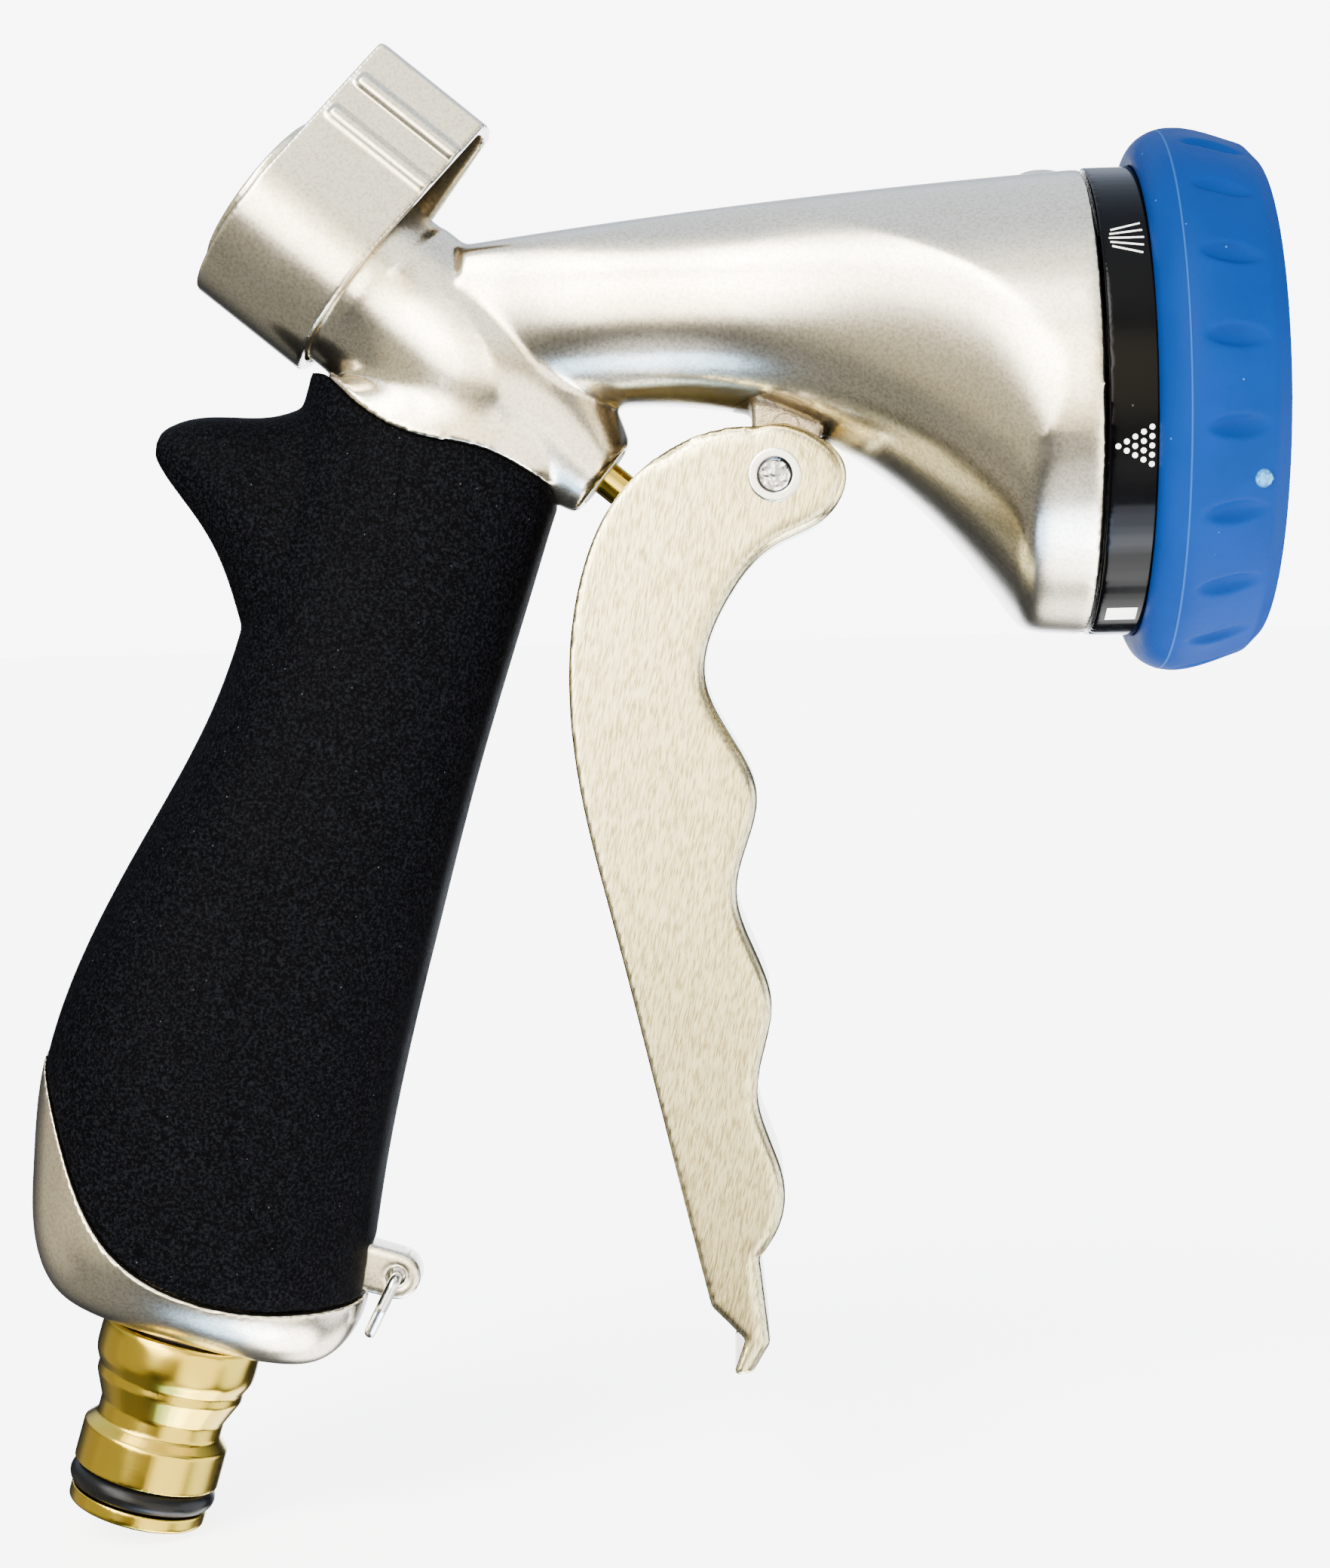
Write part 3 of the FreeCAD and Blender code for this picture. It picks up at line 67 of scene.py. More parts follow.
SLOT_OF = {part["node"]: part["material_slot"] for part in frame["record"]["subparts"]}
print("CAD box, mm:", [round(size / MM, 1) for size in cad_high - cad_low])

# %% [markdown]
# ## Camera
# A long lens from the side shows the lever, the grip and the dial in profile with little
# perspective. The camera leans a degree and a half, as a hand-held camera does.

# %% Camera
CAMERA_PLACE = Vector((0.0695, -0.345, 0.0932))
CAMERA_TARGET = Vector((0.0610, 0.0, 0.0754))
CAMERA_UP = Vector((0.0244, 0.0, 0.9997))
LENS_MM = 70.0


def aim(thing, place, target, up=Vector((0, 0, 1))):
    """Puts a camera or lamp at a place, looking at a target."""
    back = (place - target).normalized()
    right = up.cross(back).normalized()
    turn = Matrix((right, back.cross(right), back)).transposed()
    thing.matrix_world = Matrix.Translation(place) @ turn.to_4x4()


camera = bpy.data.objects.new("camera", bpy.data.cameras.new("camera"))
bpy.context.collection.objects.link(camera)
camera.data.lens = LENS_MM
camera.data.clip_start = 0.01
aim(camera, CAMERA_PLACE, CAMERA_TARGET, CAMERA_UP)
bpy.context.scene.camera = camera
print("camera at, mm:", [round(value / MM) for value in CAMERA_PLACE])

# %% [markdown]
# ## Studio
# Satin metal is a soft mirror, so it shows the room more than its own colour. The room here is
# a white studio that is bright in front and above and darker below, as if the nozzle hung over
# a table. Then the underside of the barrel is darker than its flank, which is what makes it
# read as metal. The floor stays pale, and mirrors don't see it.

# %% Floor
FLOOR_HALF = 20.0
FLOOR_GAP = 0.3 * MM
TABLE_LIGHT = 4.6
STUDIO_MIDDLE = (cad_low + cad_high) / 2

bpy.ops.object.select_all(action="DESELECT")
bpy.ops.mesh.primitive_plane_add(size=2 * FLOOR_HALF,
                                 location=(STUDIO_MIDDLE.x, 0, cad_low.z - FLOOR_GAP))
floor = bpy.context.active_object
floor.name = "floor"
floor.visible_glossy = False
floor.visible_shadow = False

paper = bpy.data.materials.new("pale_paper")
paper.use_nodes = True
paper_shader = paper.node_tree.nodes["Principled BSDF"]
paper_shader.inputs["Base Color"].default_value = (0.88, 0.88, 0.88, 1)
paper_shader.inputs["Roughness"].default_value = 1.0
paper_shader.inputs["Specular IOR Level"].default_value = 0.0
paper_shader.inputs["Emission Color"].default_value = (1, 1, 1, 1)
paper_shader.inputs["Emission Strength"].default_value = TABLE_LIGHT
paper.cycles.emission_sampling = "NONE"
floor.data.materials.append(paper)
print("floor at, mm:", round((cad_low.z - FLOOR_GAP) / MM, 1))

# %% [markdown]
# The air of the studio is a world shader: a dark ground tone plus a few wide, soft glows, each
# around one direction, as large lit walls give. The camera sees a plain pale wall instead, of
# the same tone as the floor, so that no horizon shows.

# %% Air
GROUND_TONE = (0.04, 0.045, 0.055)
WALL_TONE = 8.2
# glows: direction, cosines where it starts and where it is full, colour
GLOWS = (
    # tall window, in three parts
    ((-0.32, -0.93, 0.17), 0.925, 0.985, (10.5, 10.3, 9.8)),
    ((-0.38, -0.79, 0.48), 0.90, 0.97, (10.5, 10.3, 9.8)),
    ((-0.37, -0.60, 0.70), 0.94, 0.985, (9.5, 9.3, 8.8)),
    # wall behind the camera, ceiling
    ((-0.02, -0.97, 0.16), 0.88, 0.98, (3.9, 3.5, 2.5)),
    ((0.15, -0.80, 0.60), 0.55, 0.95, (1.6, 1.45, 1.0)),
    ((0.0, 0.10, 1.0), 0.20, 0.70, (1.3, 1.5, 1.85)),
    # left wall
    ((-1.0, -0.10, -0.25), 0.45, 0.90, (0.28, 0.27, 0.23)),
    ((-1.0, -0.70, 0.10), 0.80, 0.97, (0.55, 0.50, 0.32)),
    ((-1.0, 0.15, -0.15), 0.88, 0.98, (0.4, 0.35, 0.25)),
    # bright paper below and behind, wall on the right
    ((0.28, -0.05, -0.96), 0.92, 0.97, (13.0, 13.0, 13.0)),
    ((-0.13, -0.32, -0.94), 0.96, 0.99, (3.0, 5.0, 8.0)),
    ((0.12, -0.38, -0.92), 0.965, 0.99, (10.0, 11.0, 13.0)),
    ((0.15, -0.62, -0.77), 0.88, 0.97, (1.5, 1.5, 1.5)),
    ((0.30, 0.55, -0.78), 0.92, 0.98, (6.0, 6.0, 6.0)),
    ((0.0, 1.0, -0.03), 0.93, 0.995, (8.0, 8.5, 9.5)),
    ((0.60, -0.72, -0.35), 0.80, 0.95, (5.0, 4.8, 4.2)),
    ((0.97, -0.10, 0.22), 0.90, 0.98, (0.6, 0.6, 0.6)),
    ((0.95, 0.15, -0.25), 0.82, 0.96, (4.0, 4.2, 4.6)),
)

world = bpy.data.worlds.new("studio_air")
world.use_nodes = True
bpy.context.scene.world = world
air = world.node_tree
toward = air.nodes.new("ShaderNodeTexCoord")


def add_glow(before, direction, start, full, color):
    """Adds one soft glow to the light that is already there."""
    angle = air.nodes.new("ShaderNodeVectorMath")
    angle.operation = "DOT_PRODUCT"
    angle.inputs[1].default_value = Vector(direction).normalized()
    share = air.nodes.new("ShaderNodeMapRange")
    share.interpolation_type = "SMOOTHSTEP"
    share.inputs["From Min"].default_value = start
    share.inputs["From Max"].default_value = full
    light = air.nodes.new("ShaderNodeVectorMath")
    light.operation = "MULTIPLY_ADD"
    light.inputs[1].default_value = color
    air.links.new(toward.outputs["Generated"], angle.inputs[0])
    air.links.new(angle.outputs["Value"], share.inputs["Value"])
    air.links.new(share.outputs["Result"], light.inputs[0])
    air.links.new(before, light.inputs[2])
    return light.outputs["Vector"]


ground = air.nodes.new("ShaderNodeCombineXYZ")
for axis, amount in zip("XYZ", GROUND_TONE):
    ground.inputs[axis].default_value = amount
total = ground.outputs[0]
for glow in GLOWS:
    total = add_glow(total, *glow)
air.links.new(total, air.nodes["Background"].inputs["Color"])

wall = air.nodes.new("ShaderNodeBackground")
wall.inputs["Color"].default_value = (WALL_TONE, WALL_TONE, WALL_TONE, 1)
seen_directly = air.nodes.new("ShaderNodeLightPath")
choose = air.nodes.new("ShaderNodeMixShader")
air.links.new(seen_directly.outputs["Is Camera Ray"], choose.inputs["Fac"])
air.links.new(air.nodes["Background"].outputs[0], choose.inputs[1])
air.links.new(wall.outputs[0], choose.inputs[2])
air.links.new(choose.outputs[0], air.nodes["World Output"].inputs["Surface"])
print("glows:", len(GLOWS), "wall:", WALL_TONE)

# %% [markdown]
# One lamp gives the shadows their direction. A sun lamp with a large angle is as soft as a
# wide window, and it lights the floor evenly. It hangs high in front, a little to the left.

# %% Key lamp
KEY_SPREAD = 26                # degrees
KEY_LIGHT = 1.4
KEY_FROM = Vector((-0.22, -0.62, 0.76))

key_lamp = bpy.data.lights.new("key_window", "SUN")
key_lamp.angle = math.radians(KEY_SPREAD)
key_lamp.energy = KEY_LIGHT
key_lamp.color = (1.0, 0.985, 0.96)
key_window = bpy.data.objects.new("key_window", key_lamp)
bpy.context.collection.objects.link(key_window)
aim(key_window, STUDIO_MIDDLE + KEY_FROM, STUDIO_MIDDLE)
print("key lamp, W/m2:", key_lamp.energy)

# %% [markdown]
# ## Effects that several finishes share
# A grain, a set of brushed lines and a scatter of specks are each a node group, built once.
# A group only puts out values that change over the surface; the shader itself stays in the
# material.


# %% Grain, lines and specks
def new_group(name, inputs):
    """A node group with one output, Value."""
    group = bpy.data.node_groups.new(name, "ShaderNodeTree")
    for label, value in inputs.items():
        kind = "NodeSocketVector" if isinstance(value, tuple) else "NodeSocketFloat"
        group.interface.new_socket(label, in_out="INPUT", socket_type=kind).default_value = value
    group.interface.new_socket("Value", in_out="OUTPUT", socket_type="NodeSocketFloat")
    return group, group.nodes.new("NodeGroupInput"), group.nodes.new("NodeGroupOutput")


def make_grain():
    """Even noise whose cells have one size, in metres."""
    group, given, result = new_group("grain", {"Cell": 0.0005, "Roughness": 0.5})
    place = group.nodes.new("ShaderNodeTexCoord")
    count = group.nodes.new("ShaderNodeMath")
    count.operation = "DIVIDE"
    count.inputs[0].default_value = 1.0
    noise = group.nodes.new("ShaderNodeTexNoise")
    noise.inputs["Detail"].default_value = 3.0
    group.links.new(given.outputs["Cell"], count.inputs[1])
    group.links.new(place.outputs["Object"], noise.inputs["Vector"])
    group.links.new(count.outputs[0], noise.inputs["Scale"])
    group.links.new(given.outputs["Roughness"], noise.inputs["Roughness"])
    group.links.new(noise.outputs["Fac"], result.inputs["Value"])
    return group


def make_lines():
    """Fine scratches: turned into a frame and stretched, both as on a Mapping node."""
    group, given, result = new_group(
        "lines", {"Place": (0.0, 0.0, 0.0), "Turn": (0.0, 0.0, 0.0),
                  "Stretch": (6000.0, 6000.0, 150.0)})
    place = group.nodes.new("ShaderNodeTexCoord")
    centre = group.nodes.new("ShaderNodeVectorMath")
    centre.operation = "SUBTRACT"
    turn = group.nodes.new("ShaderNodeVectorRotate")
    turn.rotation_type = "EULER_XYZ"
    turn.invert = True
    stretch = group.nodes.new("ShaderNodeVectorMath")
    stretch.operation = "MULTIPLY"
    noise = group.nodes.new("ShaderNodeTexNoise")
    noise.inputs["Scale"].default_value = 1.0
    noise.inputs["Detail"].default_value = 2.5
    group.links.new(place.outputs["Object"], centre.inputs[0])
    group.links.new(given.outputs["Place"], centre.inputs[1])
    group.links.new(centre.outputs["Vector"], turn.inputs["Vector"])
    group.links.new(given.outputs["Turn"], turn.inputs["Rotation"])
    group.links.new(turn.outputs["Vector"], stretch.inputs[0])
    group.links.new(given.outputs["Stretch"], stretch.inputs[1])
    group.links.new(stretch.outputs["Vector"], noise.inputs["Vector"])
    group.links.new(noise.outputs["Fac"], result.inputs["Value"])
    return group


def make_specks():
    """Small dots, 1 inside and 0 outside: one in each cell, of which a share is kept."""
    group, given, result = new_group("specks", {"Cell": 0.003, "Size": 0.06, "Share": 0.5})
    place = group.nodes.new("ShaderNodeTexCoord")
    count = group.nodes.new("ShaderNodeMath")
    count.operation = "DIVIDE"
    count.inputs[0].default_value = 1.0
    cells = group.nodes.new("ShaderNodeTexVoronoi")
    near = group.nodes.new("ShaderNodeMath")
    near.operation = "LESS_THAN"
    kept = group.nodes.new("ShaderNodeMath")
    kept.operation = "LESS_THAN"
    pick = group.nodes.new("ShaderNodeSeparateXYZ")
    both = group.nodes.new("ShaderNodeMath")
    both.operation = "MULTIPLY"
    group.links.new(given.outputs["Cell"], count.inputs[1])
    group.links.new(place.outputs["Object"], cells.inputs["Vector"])
    group.links.new(count.outputs[0], cells.inputs["Scale"])
    group.links.new(cells.outputs["Distance"], near.inputs[0])
    group.links.new(given.outputs["Size"], near.inputs[1])
    group.links.new(cells.outputs["Color"], pick.inputs[0])
    group.links.new(pick.outputs["X"], kept.inputs[0])
    group.links.new(given.outputs["Share"], kept.inputs[1])
    group.links.new(near.outputs[0], both.inputs[0])
    group.links.new(kept.outputs[0], both.inputs[1])
    group.links.new(both.outputs[0], result.inputs["Value"])
    return group


def make_reach():
    """How far the surface is from a place, with each axis stretched first."""
    group, given, result = new_group(
        "reach", {"Place": (0.0, 0.0, 0.0), "Stretch": (1000.0, 1000.0, 1000.0)})
    place = group.nodes.new("ShaderNodeTexCoord")
    centre = group.nodes.new("ShaderNodeVectorMath")
    centre.operation = "SUBTRACT"
    stretch = group.nodes.new("ShaderNodeVectorMath")
    stretch.operation = "MULTIPLY"
    length = group.nodes.new("ShaderNodeVectorMath")
    length.operation = "LENGTH"
    group.links.new(place.outputs["Object"], centre.inputs[0])
    group.links.new(given.outputs["Place"], centre.inputs[1])
    group.links.new(centre.outputs["Vector"], stretch.inputs[0])
    group.links.new(given.outputs["Stretch"], stretch.inputs[1])
    group.links.new(stretch.outputs["Vector"], length.inputs[0])
    group.links.new(length.outputs["Value"], result.inputs["Value"])
    return group


GRAIN, LINES, SPECKS, REACH = make_grain(), make_lines(), make_specks(), make_reach()
print("node groups:", [group.name for group in bpy.data.node_groups])

# %% [markdown]
# ## A small paint shop
# Each finish starts as a plain shader and gets layers: a group's value can roughen it, tint it
# or raise it. These helpers each wire one layer.


# %% Layers
def finish(name, color, metallic, roughness, specular=0.5):
    """A new material, kept with its nodes, its links and its shader."""
    material = bpy.data.materials.new(name)
    material.use_nodes = True
    shader = material.node_tree.nodes["Principled BSDF"]
    shader.inputs["Base Color"].default_value = (*color, 1)
    shader.inputs["Metallic"].default_value = metallic
    shader.inputs["Roughness"].default_value = roughness
    shader.inputs["Specular IOR Level"].default_value = specular
    return material, shader


def put(material, group, **values):
    """Places a group in a material and returns its value."""
    node = material.node_tree.nodes.new("ShaderNodeGroup")
    node.node_tree = group
    for label, value in values.items():
        node.inputs[label].default_value = value
    return node.outputs["Value"]


def spread(material, value, low, high, start=0.3, end=0.7):
    """Stretches the start to end part of a value over low to high."""
    node = material.node_tree.nodes.new("ShaderNodeMapRange")
    for label, amount in (("From Min", start), ("From Max", end), ("To Min", low),
                          ("To Max", high)):
        node.inputs[label].default_value = amount
    material.node_tree.links.new(value, node.inputs["Value"])
    return node.outputs["Result"]


def join(material, operation, first, second):
    """Combines two values, or a value and a number."""
    node = material.node_tree.nodes.new("ShaderNodeMath")
    node.operation = operation
    for socket, value in zip(node.inputs, (first, second)):
        if isinstance(value, float):
            socket.default_value = value
        else:
            material.node_tree.links.new(value, socket)
    return node.outputs[0]


def roughen(material, shader, value, low, high):
    material.node_tree.links.new(spread(material, value, low, high), shader.inputs["Roughness"])


def tint(material, shader, value, other, before=None):
    """Mixes a second colour in where the value is high; before is the layer under it."""
    mix = material.node_tree.nodes.new("ShaderNodeMix")
    mix.data_type = "RGBA"
    mix.inputs[6].default_value = shader.inputs["Base Color"].default_value
    mix.inputs[7].default_value = (*other, 1)
    material.node_tree.links.new(value, mix.inputs[0])
    if before is not None:
        material.node_tree.links.new(before, mix.inputs[6])
    material.node_tree.links.new(mix.outputs[2], shader.inputs["Base Color"])
    return mix.outputs[2]


def emboss(material, shader, value, depth, under=None):
    """Raises the surface by a value, in metres, over an earlier layer of relief."""
    bump = material.node_tree.nodes.new("ShaderNodeBump")
    bump.inputs["Distance"].default_value = depth
    material.node_tree.links.new(value, bump.inputs["Height"])
    if under is not None:
        material.node_tree.links.new(under, bump.inputs["Normal"])
    material.node_tree.links.new(bump.outputs["Normal"], shader.inputs["Normal"])
    return bump.outputs["Normal"]


HANDLE_LEAN = math.acos(-frame["record"]["mounts"][0]["axis"][2])
PIVOT = Vector(JOINTS["trigger_pull"]["pos_m"])
HEAD = Vector(JOINTS["dial_spin"]["pos_m"])
ANCHOR = Vector(JOINTS["knob_turn"]["pos_m"])
STEM_WAY = Vector(JOINTS["knob_turn"]["axis"])
RING_BACK = min(vertex.co.x for vertex in frame["nodes"]["grip_ring"].data.vertices)
NICK_PLACE = Vector((RING_BACK + 10.6 * MM, -30 * MM, HEAD.z - 10.0 * MM))
NICK_RADIUS = 1.0 * MM
print("handle leans, degrees:", round(math.degrees(HANDLE_LEAN), 1))

# %% [markdown]
# ## Metal finishes
# The casting was blasted with fine grit and plated in a warm nickel: a soft mirror with a fine
# grain, a cloudy sheen and a few tiny pits. The lever was brushed along its length instead.


# %% Satin nickel and brushed nickel
def satin_metal():
    material, shader = finish("satin_nickel", (0.76, 0.69, 0.55), 1.0, 0.22)
    grain = put(material, GRAIN, Cell=0.00038, Roughness=0.7)
    relief = emboss(material, shader, grain, 0.0022 * MM)
    layer = tint(material, shader, spread(material, grain, 0.0, 0.6, 0.42, 0.66),
                 (0.38, 0.32, 0.21))
    pits = put(material, SPECKS, Cell=0.004, Size=0.035, Share=0.5)
    relief = emboss(material, shader, spread(material, pits, 1.0, 0.0, 0.0, 1.0), 0.05 * MM,
                    relief)
    layer = tint(material, shader, spread(material, pits, 0.0, 0.5, 0.0, 1.0),
                 (0.30, 0.26, 0.20), layer)
    # the lug was left as cast: rougher than the blasted skin, and browner, partly its own as-cast tone and partly
    # painted shade where it sits under the barrel
    from_lug = put(material, REACH, Place=PIVOT + Vector((1.0, 0, 5.5)) * MM,
                   Stretch=(1 / (6.5 * MM), 1 / (14 * MM), 1 / (6 * MM)))
    as_cast_and_shaded = spread(material, from_lug, 1.0, 0.0, 0.88, 1.0)
    # painted shade, partly as-cast tone: the lug is tinted dark brown
    tint(material, shader, join(material, "MULTIPLY", as_cast_and_shaded, 0.85), (0.20, 0.15, 0.09), layer)
    coarse = put(material, GRAIN, Cell=0.0009, Roughness=0.7)
    emboss(material, shader, join(material, "MULTIPLY", as_cast_and_shaded, coarse), 0.12 * MM, relief)
    cloud = put(material, GRAIN, Cell=0.014, Roughness=0.6)
    sheen = spread(material, cloud, 0.20, 0.25)
    rough = join(material, "MAXIMUM", sheen, join(material, "MULTIPLY", as_cast_and_shaded, 0.34))
    material.node_tree.links.new(rough, shader.inputs["Roughness"])
    return material


def brushed_metal():
    material, shader = finish("brushed_nickel", (0.74, 0.66, 0.40), 1.0, 0.2)
    lines = put(material, LINES, Turn=(0, math.radians(12), 0), Stretch=(6500.0, 6500.0, 650.0))
    layer = tint(material, shader, spread(material, lines, 0.0, 1.0, 0.42, 0.64),
                 (0.32, 0.27, 0.14))
    # scuffs that the rivet's tool left, in arcs around the pivot
    from_pivot = put(material, REACH, Place=PIVOT, Stretch=(1 / MM, 0.0, 1 / MM))
    from_arc = join(material, "ABSOLUTE", join(material, "SUBTRACT", from_pivot, 4.25), 0.0)
    arcs = join(material, "LESS_THAN", join(material, "PINGPONG", from_pivot, 0.24), 0.06)
    patches = put(material, GRAIN, Cell=0.004, Roughness=0.5)
    scuffed = join(material, "MULTIPLY", join(material, "LESS_THAN", from_arc, 0.6),
                   join(material, "MULTIPLY", arcs, spread(material, patches, 0.0, 0.8, 0.45, 0.6)))
    tint(material, shader, scuffed, (0.30, 0.25, 0.15), layer)
    cloud = put(material, GRAIN, Cell=0.012, Roughness=0.6)
    roughen(material, shader, cloud, 0.19, 0.24)
    relief = emboss(material, shader, lines, 0.003 * MM)
    grain = put(material, GRAIN, Cell=0.0003, Roughness=0.7)
    emboss(material, shader, grain, 0.0015 * MM, relief)
    return material


def bright_steel():
    material, shader = finish("bright_steel", (0.72, 0.72, 0.71), 1.0, 0.2)
    cloud = put(material, GRAIN, Cell=0.0012, Roughness=0.6)
    roughen(material, shader, cloud, 0.14, 0.30)
    emboss(material, shader, cloud, 0.01 * MM)
    # painted shade: the floor of the rivet's recess is darkened, and a dark ring is painted in the corner of the
    # recess as its shadow
    from_axis = put(material, REACH, Place=PIVOT, Stretch=(1 / MM, 0.0, 1 / MM))
    layer = tint(material, shader, spread(material, from_axis, 0.75, 0.0, 1.80, 1.95),
                 (0.22, 0.23, 0.25))
    # painted shadow: a dark ring in the corner of the recess
    corner = join(material, "ABSOLUTE", join(material, "SUBTRACT", from_axis, 1.85), 0.0)
    tint(material, shader, spread(material, corner, 0.9, 0.0, 0.08, 0.22), (0.02, 0.022, 0.025),
         layer)
    return material


def turned_brass():
    material, shader = finish("turned_brass", (0.52, 0.37, 0.04), 1.0, 0.2)
    lines = put(material, LINES, Turn=(0, HANDLE_LEAN, 0), Stretch=(40.0, 40.0, 5200.0))
    cloud = put(material, GRAIN, Cell=0.004, Roughness=0.6)
    roughen(material, shader, cloud, 0.15, 0.21)
    emboss(material, shader, lines, 0.0015 * MM)
    tint(material, shader, spread(material, cloud, 0.0, 0.35, 0.4, 0.8), (0.50, 0.31, 0.03))
    return material


print("metal finishes ready")

# %% [markdown]
# ## Rubber and plastic finishes
# The grip's rubber is nearly black, with a grain like fine leather, and it holds lint. The
# blue ring is a softer, smoother rubber with a little dust. The dial's band is moulded in
# glossy black plastic.


# %% Rubbers and plastics
def black_rubber():
    material, shader = finish("black_rubber", (0.0003, 0.0003, 0.0005), 0.0, 0.55, 0.014)
    grain = put(material, GRAIN, Cell=0.00036, Roughness=0.7)
    layer = tint(material, shader, spread(material, grain, 0.0, 1.0, 0.46, 0.74),
                 (0.0044, 0.0046, 0.0060))
    relief = emboss(material, shader, grain, 0.10 * MM)
    cloud = put(material, GRAIN, Cell=0.02, Roughness=0.6)
    roughen(material, shader, cloud, 0.5, 0.66)
    lint = put(material, SPECKS, Cell=0.0018, Size=0.05, Share=0.5)
    tint(material, shader, spread(material, lint, 0.0, 0.5, 0.0, 1.0), (0.05, 0.05, 0.06), layer)
    emboss(material, shader, lint, 0.03 * MM, relief)
    return material


def seal_rubber():
    material, shader = finish("seal_rubber", (0.002, 0.002, 0.0022), 0.0, 0.3, 0.15)
    cloud = put(material, GRAIN, Cell=0.002, Roughness=0.6)
    roughen(material, shader, cloud, 0.22, 0.42)
    return material


def blue_rubber():
    material, shader = finish("blue_rubber", (0.0001, 0.015, 0.085), 0.0, 0.45, 0.03)
    cloud = put(material, GRAIN, Cell=0.008, Roughness=0.6)
    layer = tint(material, shader, spread(material, cloud, 0.0, 0.5), (0.0001, 0.018, 0.115))
    # the mould's parting line runs round the ring, close behind its dents
    from_seam = put(material, REACH, Place=(RING_BACK + 2.9 * MM, 0, 0),
                    Stretch=(1 / MM, 0.0, 0.0))
    seam = spread(material, from_seam, 1.0, 0.0, 0.06, 0.16)
    layer = tint(material, shader, join(material, "MULTIPLY", seam, 0.3), (0.02, 0.10, 0.33),
                 layer)
    dust = put(material, SPECKS, Cell=0.0022, Size=0.05, Share=0.5)
    layer = tint(material, shader, spread(material, dust, 0.0, 0.5, 0.0, 1.0),
                 (0.05, 0.16, 0.42), layer)
    # one spot on the ring is torn and pale
    from_nick = put(material, REACH, Place=NICK_PLACE, Stretch=(1 / MM, 0.0, 1 / MM))
    shreds = spread(material, put(material, GRAIN, Cell=0.0007, Roughness=0.6), 0.3, 1.0, 0.4, 0.55)
    torn = join(material, "MULTIPLY", shreds,
                spread(material, from_nick, 0.8, 0.0, 0.75 * NICK_RADIUS / MM, NICK_RADIUS / MM))
    tint(material, shader, torn, (0.06, 0.26, 0.48), layer)
    roughen(material, shader, cloud, 0.42, 0.58)
    grain = put(material, GRAIN, Cell=0.0005, Roughness=0.6)
    relief = emboss(material, shader, grain, 0.03 * MM)
    emboss(material, shader, seam, 0.08 * MM, relief)
    return material


def black_gloss():
    material, shader = finish("black_gloss", (0.0004, 0.0004, 0.0006), 0.0, 0.08, 0.07)
    cloud = put(material, GRAIN, Cell=0.003, Roughness=0.7)
    roughen(material, shader, cloud, 0.05, 0.16)
    dust = put(material, SPECKS, Cell=0.003, Size=0.04, Share=0.3)
    tint(material, shader, spread(material, dust, 0.0, 0.4, 0.0, 1.0), (0.05, 0.05, 0.05))
    return material


def moulded_plastic(name, color, roughness):
    material, shader = finish(name, color, 0.0, roughness)
    grain = put(material, GRAIN, Cell=0.0006, Roughness=0.6)
    roughen(material, shader, grain, roughness - 0.06, roughness + 0.08)
    emboss(material, shader, grain, 0.015 * MM)
    return material


FINISHES = {
    "satin_metal": satin_metal(), "brushed_metal": brushed_metal(),
    "bright_steel": bright_steel(), "brass": turned_brass(), "black_rubber": black_rubber(),
    "seal_rubber": seal_rubber(), "blue_rubber": blue_rubber(), "black_gloss": black_gloss(),
    "white_nylon": moulded_plastic("white_nylon", (0.8, 0.79, 0.75), 0.5),
    "black_plastic": moulded_plastic("black_plastic", (0.03, 0.03, 0.03), 0.5),
}
for node, thing in frame["nodes"].items():
    thing.data.materials.clear()
    thing.data.materials.append(FINISHES[SLOT_OF[node]])
print("finishes:", sorted(FINISHES))

# %% [markdown]
# ## Soft edges
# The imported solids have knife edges, but no cast or moulded edge is sharp: plating and rubber
# round it off, and the round catches a thin line of light. A voxel remesh gives a copy of the
# solid an even skin, and smoothing that skin rounds every edge by the same small amount.


# %% Tools for the skin
def only(thing):
    """Selects one object alone and makes it active."""
    bpy.ops.object.select_all(action="DESELECT")
    thing.select_set(True)
    bpy.context.view_layer.objects.active = thing


def run_modifier(thing, kind, **settings):
    """Adds a modifier and applies it at once."""
    only(thing)
    modifier = thing.modifiers.new(kind.lower(), kind)
    for label, value in settings.items():
        setattr(modifier, label, value)
    bpy.ops.object.modifier_apply(modifier=modifier.name)


def count_triangles(thing):
    return sum(len(face.vertices) - 2 for face in thing.data.polygons)


def copy_node(node, name):
    """A loose copy of a CAD piece with its triangles joined up."""
    piece = bpy.data.objects.new(name, frame["nodes"][node].data.copy())
    bpy.context.collection.objects.link(piece)
    only(piece)
    bpy.ops.mesh.customdata_custom_splitnormals_clear()
    bpy.ops.object.mode_set(mode="EDIT")
    bpy.ops.mesh.select_all(action="SELECT")
    bpy.ops.mesh.remove_doubles(threshold=0.001 * MM)
    bpy.ops.object.mode_set(mode="OBJECT")
    return piece


def smooth_where(piece, wanted, repeats):
    """Smooths the vertices for which wanted(place) holds."""
    chosen = [vertex.index for vertex in piece.data.vertices if wanted(vertex.co)]
    zone = piece.vertex_groups.new(name="zone")
    zone.add(chosen, 1.0, "REPLACE")
    run_modifier(piece, "SMOOTH", factor=0.5, iterations=repeats, vertex_group="zone")
    piece.vertex_groups.clear()
    return len(chosen)


def stand_in(piece, node):
    """The piece takes over from a CAD piece: its place, its body and its finish."""
    piece.data.materials.clear()
    piece.data.materials.append(FINISHES[SLOT_OF[node]])
    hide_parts(node)
    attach(piece, BODY_OF[node])


